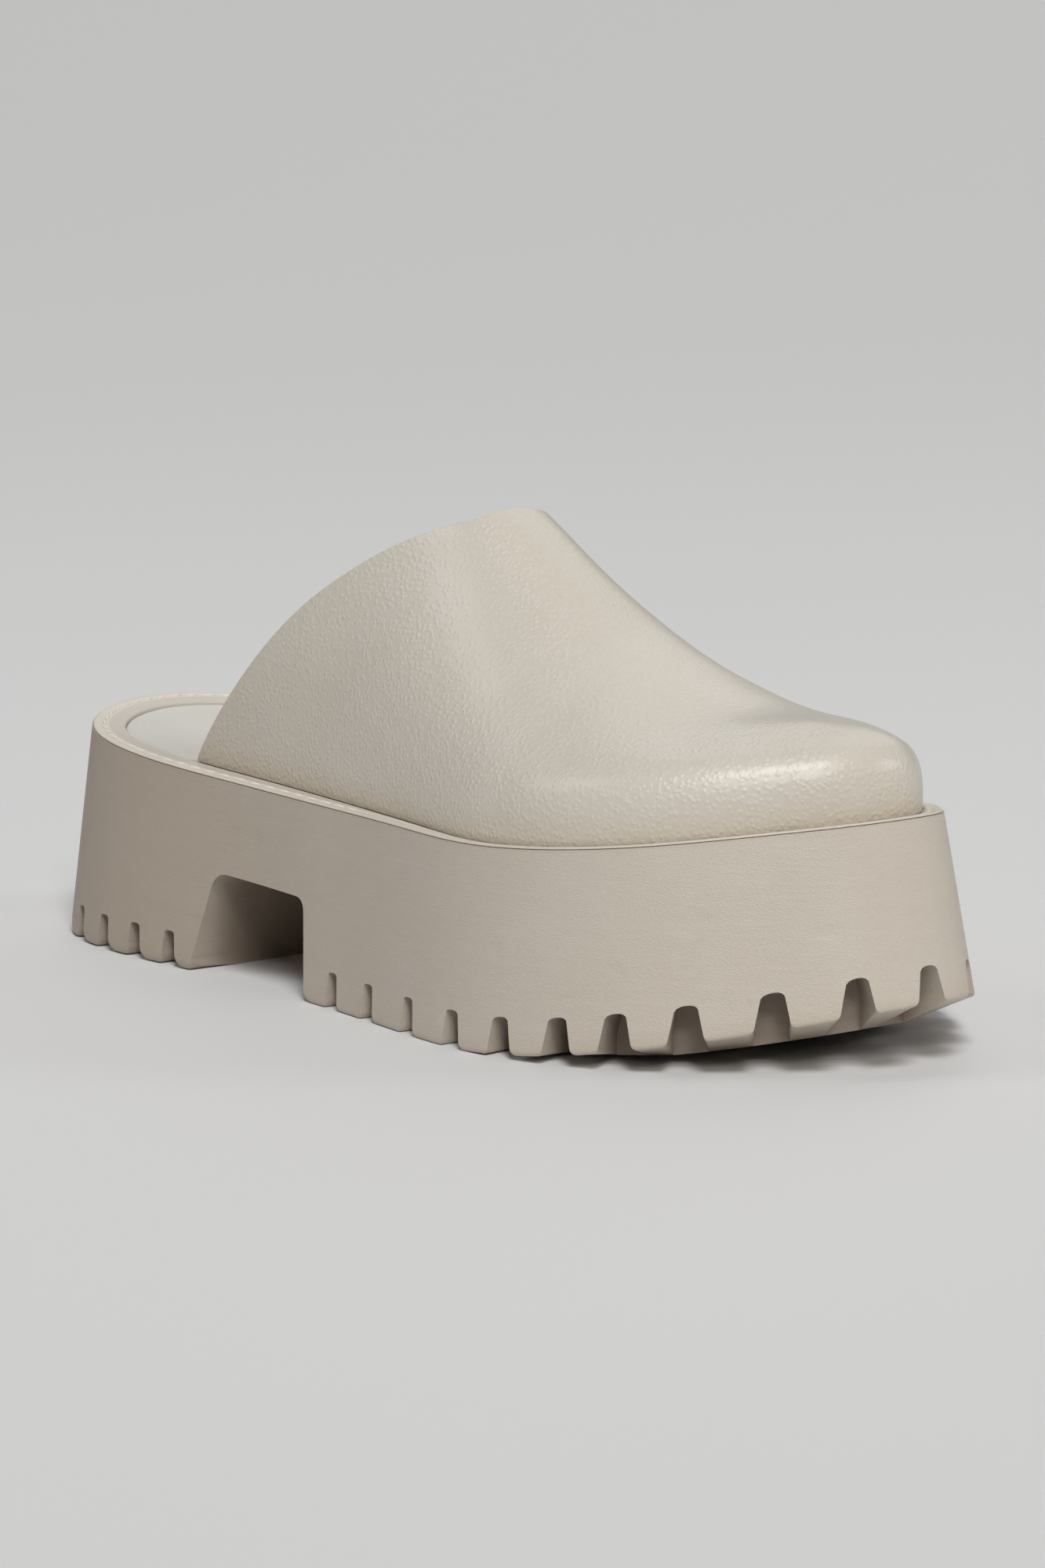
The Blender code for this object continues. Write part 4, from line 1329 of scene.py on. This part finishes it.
@dataclass(frozen=True)
class Finish:
    """A cream surface: its colours, gloss and grain."""

    name: str
    light: tuple[float, float, float]
    warm: tuple[float, float, float]
    roughness: float
    roughness_swing: float
    coat: float
    coat_roughness: float
    grain_scale: float
    grain_depth: float
    fine: float
    stretch: tuple[float, float, float] = (1.0, 1.0, 1.0)
    mottle_scale: float = 26.0
    specular: float = 0.5

    def build(self, groups: dict[str, bpy.types.NodeTree]) -> bpy.types.Material:
        """Make the material.

        Args:
            groups: the shared node groups, by name.

        Returns:
            The material.
        """
        material = bpy.data.materials.new(self.name)
        material.use_nodes = True
        tree = material.node_tree
        wiring = Wiring(tree)
        shader = tree.nodes["Principled BSDF"]
        place = wiring.add("TexCoord").outputs["Object"]
        drawn = wiring.add("Mapping", {"Vector": place, "Scale": self.stretch}).outputs[0]
        grain = wiring.add("Group", node_tree=groups["pebble_grain"])
        wiring.feed(grain.inputs["Vector"], drawn)
        wiring.feed(grain.inputs["Scale"], self.grain_scale)
        wiring.feed(grain.inputs["Fine"], self.fine)
        mottle = wiring.add("Group", node_tree=groups["soft_mottle"])
        wiring.feed(mottle.inputs["Vector"], place)
        wiring.feed(mottle.inputs["Scale"], self.mottle_scale)
        colour = wiring.blend(wiring.maths("MULTIPLY", mottle.outputs["Cloud"], 0.55),
                              (*self.light, 1.0), (*self.warm, 1.0))
        furrow = wiring.maths("MULTIPLY", grain.outputs["Furrow"], 0.10)
        colour = wiring.blend(furrow, colour, (*(0.7 * value for value in self.warm), 1.0))
        colour = self.tone(wiring, colour, mottle)
        wiring.feed(shader.inputs["Base Color"], colour)
        rough = wiring.maths("ADD", wiring.maths("MULTIPLY", mottle.outputs["Cloud"], self.roughness_swing),
                             self.roughness)
        wiring.feed(shader.inputs["Roughness"], self.gloss(wiring, rough, mottle))
        bump = wiring.add("Bump", {"Strength": 1.0, "Distance": self.grain_depth,
                                   "Height": self.relief(wiring, grain, place)})
        wiring.feed(shader.inputs["Normal"], bump.outputs[0])
        shader.inputs["Coat Weight"].default_value = self.coat
        shader.inputs["Coat Roughness"].default_value = self.coat_roughness
        shader.inputs["Specular IOR Level"].default_value = self.specular
        return material

    def tone(self, wiring: Wiring, colour: bpy.types.NodeSocket, mottle: bpy.types.Node) -> bpy.types.NodeSocket:
        """Colour after what is particular to this surface."""
        return colour

    def gloss(self, wiring: Wiring, rough: bpy.types.NodeSocket, mottle: bpy.types.Node) -> bpy.types.NodeSocket:
        """Roughness after what is particular to this surface."""
        return rough

    def relief(self, wiring: Wiring, grain: bpy.types.Node, place: bpy.types.NodeSocket) -> bpy.types.NodeSocket:
        """Height of the surface's fine relief."""
        return grain.outputs["Height"]


@dataclass(frozen=True)
class UpperLeather(Finish):
    """Satin pebbled leather, with painted shade, darker and yellower, where it meets the welt, and painted shade
    low on its rear.
    """

    # Colour of painted shade, darker and yellower, in the crease along the welt.
    crease: tuple[float, float, float] = (0.56, 0.46, 0.30)
    # Colour of painted shade that darkens the rear of the upper, most at its low part.
    rear_shade: tuple[float, float, float] = (0.40, 0.335, 0.265)
    rear_shade_from: float = 0.010
    rear_shade_full: float = -0.085

    def tone(self, wiring: Wiring, colour: bpy.types.NodeSocket, mottle: bpy.types.Node) -> bpy.types.NodeSocket:
        """Paint shade, darker and yellower, near the welt, and painted shade low on the rear."""
        above = wiring.add("Attribute", attribute_name="above_welt").outputs["Fac"]
        # Painted shade in the crease along the welt, fading out 9 mm above it.
        near = wiring.remap(above, 0.0, 0.009, 0.30, 0.0)
        colour = wiring.blend(near, colour, (*self.crease, 1.0))
        place = wiring.add("TexCoord").outputs["Object"]
        along = wiring.add("SeparateXYZ", {"Vector": place}).outputs["X"]
        # Painted shade towards the rear, strongest low on the upper.
        rear = wiring.remap(along, self.rear_shade_full, self.rear_shade_from, 0.38, 0.0)
        low = wiring.remap(above, 0.012, 0.048, 1.0, 0.15)
        return wiring.blend(wiring.maths("MULTIPLY", rear, low), colour, (*self.rear_shade, 1.0))


@dataclass(frozen=True)
class MouldedSide(Finish):
    """Moulded platform: faint level grain, painted shade towards the heel, in the cuts and under the rim, worn at
    the lugs' feet.
    """

    # Colour of wear at the lugs' feet, and of painted shadow in the line under the rim.
    rubbed_and_rim_shade: tuple[float, float, float] = (0.50, 0.41, 0.31)
    # Colour of painted shade that darkens the wall towards the heel.
    rear_shade: tuple[float, float, float] = (0.335, 0.265, 0.200)
    rear_shade_from: float = 0.090
    rear_shade_full: float = -0.125
    # Colour of painted shade inwards from the wall's foot, in the notches and the tunnel.
    recess_shade: tuple[float, float, float] = (0.200, 0.145, 0.100)

    def tone(self, wiring: Wiring, colour: bpy.types.NodeSocket, mottle: bpy.types.Node) -> bpy.types.NodeSocket:
        """Darken the feet of the lugs where they are worn; paint shadow under the rim, and shade towards the heel
        and in the cuts.
        """
        above = wiring.add("Attribute", attribute_name="above_ground").outputs["Fac"]
        low = wiring.remap(above, 0.0, 0.006, 0.42, 0.0)
        uneven = wiring.maths("MULTIPLY", low, wiring.remap(mottle.outputs["Cloud"], 0.0, 1.0, 0.45, 1.0))
        colour = wiring.blend(uneven, colour, (*self.rubbed_and_rim_shade, 1.0))
        below = wiring.add("Attribute", attribute_name="below_rim").outputs["Fac"]
        # Painted shadow in the line under the welt's edge.
        line = wiring.remap(below, 0.0, 0.0009, 0.30, 0.0)
        colour = wiring.blend(line, colour, (*self.rubbed_and_rim_shade, 1.0))
        place = wiring.add("TexCoord").outputs["Object"]
        along = wiring.add("SeparateXYZ", {"Vector": place}).outputs["X"]
        # Painted shade, darker and browner towards the heel.
        heel = wiring.remap(along, self.rear_shade_full, self.rear_shade_from, 0.70, 0.0)
        colour = wiring.blend(heel, colour, (*self.rear_shade, 1.0))
        # Painted shade inwards from the wall's foot, in the notches and the tunnel.
        painted_recess_shade = wiring.remap(wiring.add("Attribute", attribute_name="recess").outputs["Fac"], 0.0, 1.0, 0.0, 0.62)
        return wiring.blend(painted_recess_shade, colour, (*self.recess_shade, 1.0))

    def gloss(self, wiring: Wiring, rough: bpy.types.NodeSocket, mottle: bpy.types.Node) -> bpy.types.NodeSocket:
        """Rub the feet of the lugs smoother."""
        above = wiring.add("Attribute", attribute_name="above_ground").outputs["Fac"]
        return wiring.maths("SUBTRACT", rough, wiring.remap(above, 0.0, 0.004, 0.16, 0.0))

    def relief(self, wiring: Wiring, grain: bpy.types.Node, place: bpy.types.NodeSocket) -> bpy.types.NodeSocket:
        """Add long level ripples to the grain."""
        flat = wiring.add("Mapping", {"Vector": place, "Scale": (1.0, 1.0, 6.0)}).outputs[0]
        ripple = wiring.add("TexNoise", {"Vector": flat, "Scale": 55.0, "Detail": 3.0}).outputs[0]
        dents = wiring.add("TexNoise", {"Vector": place, "Scale": 95.0, "Detail": 1.0}).outputs[0]
        pits = wiring.remap(dents, 0.22, 0.34, -2.2, 0.0)
        waves = wiring.maths("ADD", wiring.maths("MULTIPLY", ripple, 3.0), pits)
        return wiring.maths("ADD", grain.outputs["Height"], waves)


@dataclass(frozen=True)
class WeltLeather(Finish):
    """Smooth strip: a light outer band and a greyer inner one."""

    inner: tuple[float, float, float] = (0.55, 0.50, 0.44)

    def tone(self, wiring: Wiring, colour: bpy.types.NodeSocket, mottle: bpy.types.Node) -> bpy.types.NodeSocket:
        """Colour the two bands."""
        outer = wiring.add("Attribute", attribute_name="outer_band").outputs["Fac"]
        return wiring.blend(wiring.remap(outer, 0.2, 0.8, 0.75, 0.0), colour, (*self.inner, 1.0))


def aimed(name: str, lamp: bpy.types.Light, azimuth: float, elevation: float,
          target: Vector, distance: float) -> None:
    """Stand a light where it comes from and turn it to the shoe.

    Args:
        name: the light's name.
        lamp: the light.
        azimuth: its direction round the shoe, in degrees.
        elevation: its height above the floor, in degrees.
        target: the spot that it lights.
        distance: how far it stands.
    """
    thing = bpy.data.objects.new(name, lamp)
    bpy.context.scene.collection.objects.link(thing)
    turn, lift = math.radians(azimuth), math.radians(elevation)
    away = Vector((math.cos(turn) * math.cos(lift), math.sin(turn) * math.cos(lift), math.sin(lift)))
    thing.location = target + away * distance
    thing.rotation_euler = (-away).to_track_quat("-Z", "Y").to_euler()


@dataclass(frozen=True)
class FarLight:
    """A wide, far light that falls evenly on the whole floor."""

    name: str
    azimuth: float
    elevation: float
    strength: float
    spread: float
    colour: tuple[float, float, float] = (1.0, 1.0, 1.0)

    def build(self, target: Vector) -> None:
        """Place the light and turn it to the shoe."""
        lamp = bpy.data.lights.new(self.name, "SUN")
        lamp.energy = self.strength
        lamp.angle = math.radians(self.spread)
        lamp.color = self.colour
        aimed(self.name, lamp, self.azimuth, self.elevation, target, 3.0)


@dataclass(frozen=True)
class SoftBox:
    """A studio box beside the shoe."""

    name: str
    azimuth: float
    elevation: float
    distance: float
    width: float
    height: float
    power: float
    colour: tuple[float, float, float] = (1.0, 1.0, 1.0)

    def build(self, target: Vector) -> None:
        """Place the light and turn it to the shoe."""
        lamp = bpy.data.lights.new(self.name, "AREA")
        lamp.shape = "RECTANGLE"
        lamp.size, lamp.size_y = self.width, self.height
        lamp.energy = self.power
        lamp.color = self.colour
        aimed(self.name, lamp, self.azimuth, self.elevation, target, self.distance)


@dataclass(frozen=True)
class Studio:
    """Camera, lights, floor and surroundings."""

    camera_place: tuple[float, float, float] = (1.0099, -0.8709, 0.2624)
    camera_aim: tuple[float, float, float] = (0.0086, 0.0016, 0.0499)
    lens: float = 128.0
    sensor_height: float = 36.0
    floor_half: float = 30.0
    floor_colour: tuple[float, float, float] = (0.73, 0.725, 0.72)
    air_colour: tuple[float, float, float] = (0.92, 0.95, 1.0)
    air_strength: float = 0.08
    view: str = "Standard"
    lights: tuple[FarLight | SoftBox, ...] = (
        FarLight("high_key", -33.0, 54.0, 1.82, 20.0, (1.0, 0.995, 0.985)),
        FarLight("front_light", -33.0, 33.0, 0.60, 11.0, (1.0, 0.995, 0.985)),
        FarLight("inner_fill", 125.0, 42.0, 0.50, 50.0),
        SoftBox("side_box", -130.0, 47.0, 1.5, 0.45, 0.45, 2.5, (0.94, 0.965, 1.0)),
        SoftBox("toe_box", 48.0, 23.0, 1.5, 0.40, 0.30, 3.0),
    )

    def build(self) -> None:
        """Make everything that stands round the shoe."""
        scene = bpy.context.scene
        camera = bpy.data.objects.new("camera", bpy.data.cameras.new("camera"))
        scene.collection.objects.link(camera)
        place, aim = Vector(self.camera_place), Vector(self.camera_aim)
        camera.location = place
        camera.rotation_euler = (aim - place).to_track_quat("-Z", "Y").to_euler()
        camera.data.sensor_fit = "VERTICAL"
        camera.data.sensor_height = self.sensor_height
        camera.data.lens = self.lens
        scene.camera = camera
        for light in self.lights:
            light.build(aim)
        world = bpy.data.worlds.new("studio_air")
        world.use_nodes = True
        air = world.node_tree.nodes["Background"]
        air.inputs["Color"].default_value = (*self.air_colour, 1.0)
        air.inputs["Strength"].default_value = self.air_strength
        scene.world = world
        scene.view_settings.view_transform = self.view
        work = bmesh.new()
        bmesh.ops.create_grid(work, x_segments=4, y_segments=4, size=self.floor_half)
        mesh = bpy.data.meshes.new("studio_floor")
        work.to_mesh(mesh)
        work.free()
        floor = bpy.data.objects.new("studio_floor", mesh)
        scene.collection.objects.link(floor)
        material = bpy.data.materials.new("floor_paper")
        material.use_nodes = True
        shader = material.node_tree.nodes["Principled BSDF"]
        shader.inputs["Base Color"].default_value = (*self.floor_colour, 1.0)
        shader.inputs["Roughness"].default_value = 0.7
        mesh.materials.append(material)


def finishes() -> dict[str, bpy.types.Material]:
    """All the finishes of the shoe, by name."""
    groups = {"pebble_grain": pebble_grain(), "soft_mottle": soft_mottle()}
    made = (
        UpperLeather("upper_leather", (0.650, 0.600, 0.525), (0.610, 0.553, 0.465), 0.40, 0.05, 0.22, 0.22,
                     820.0, 0.00011, 0.25),
        Finish("upper_lining", (0.640, 0.590, 0.510), (0.600, 0.545, 0.455), 0.62, 0.05, 0.0, 0.3,
               1900.0, 0.00003, 0.5),
        MouldedSide("moulded_side", (0.600, 0.540, 0.465), (0.565, 0.500, 0.420), 0.46, 0.08, 0.08, 0.35,
                    1500.0, 0.00005, 0.7, (1.0, 1.0, 1.9)),
        WeltLeather("welt_leather", (0.690, 0.635, 0.550), (0.650, 0.590, 0.500), 0.50, 0.06, 0.0, 0.3,
                    1700.0, 0.00003, 0.5),
        Finish("welt_thread", (0.780, 0.740, 0.670), (0.720, 0.680, 0.600), 0.60, 0.04, 0.0, 0.3,
               3200.0, 0.00004, 0.8),
        Finish("insole_skin", (0.630, 0.608, 0.556), (0.590, 0.566, 0.508), 0.52, 0.06, 0.0, 0.3,
               1900.0, 0.00003, 0.4),
    )
    return {finish.name: finish.build(groups) for finish in made}


def main() -> None:
    """Build the studio and the shoe, piece by piece."""
    logging.basicConfig(level=logging.INFO, format="%(name)s %(message)s")
    Studio().build()
    looks = finishes()
    outline = Outline(Last())
    sole = PlatformSole(outline)
    strip = WeltStrip(outline)
    pieces = (
        sole.build((looks["moulded_side"],)),
        strip.build((looks["welt_leather"],)),
        strip.stitches((looks["welt_thread"],)),
        FootBed(outline).build((looks["insole_skin"],)),
        UpperShell(outline).build((looks["upper_leather"], looks["upper_lining"])),
    )
    for piece in pieces:
        piece.report()
    bpy.context.view_layer.update()


if __name__ == "__main__":
    main()
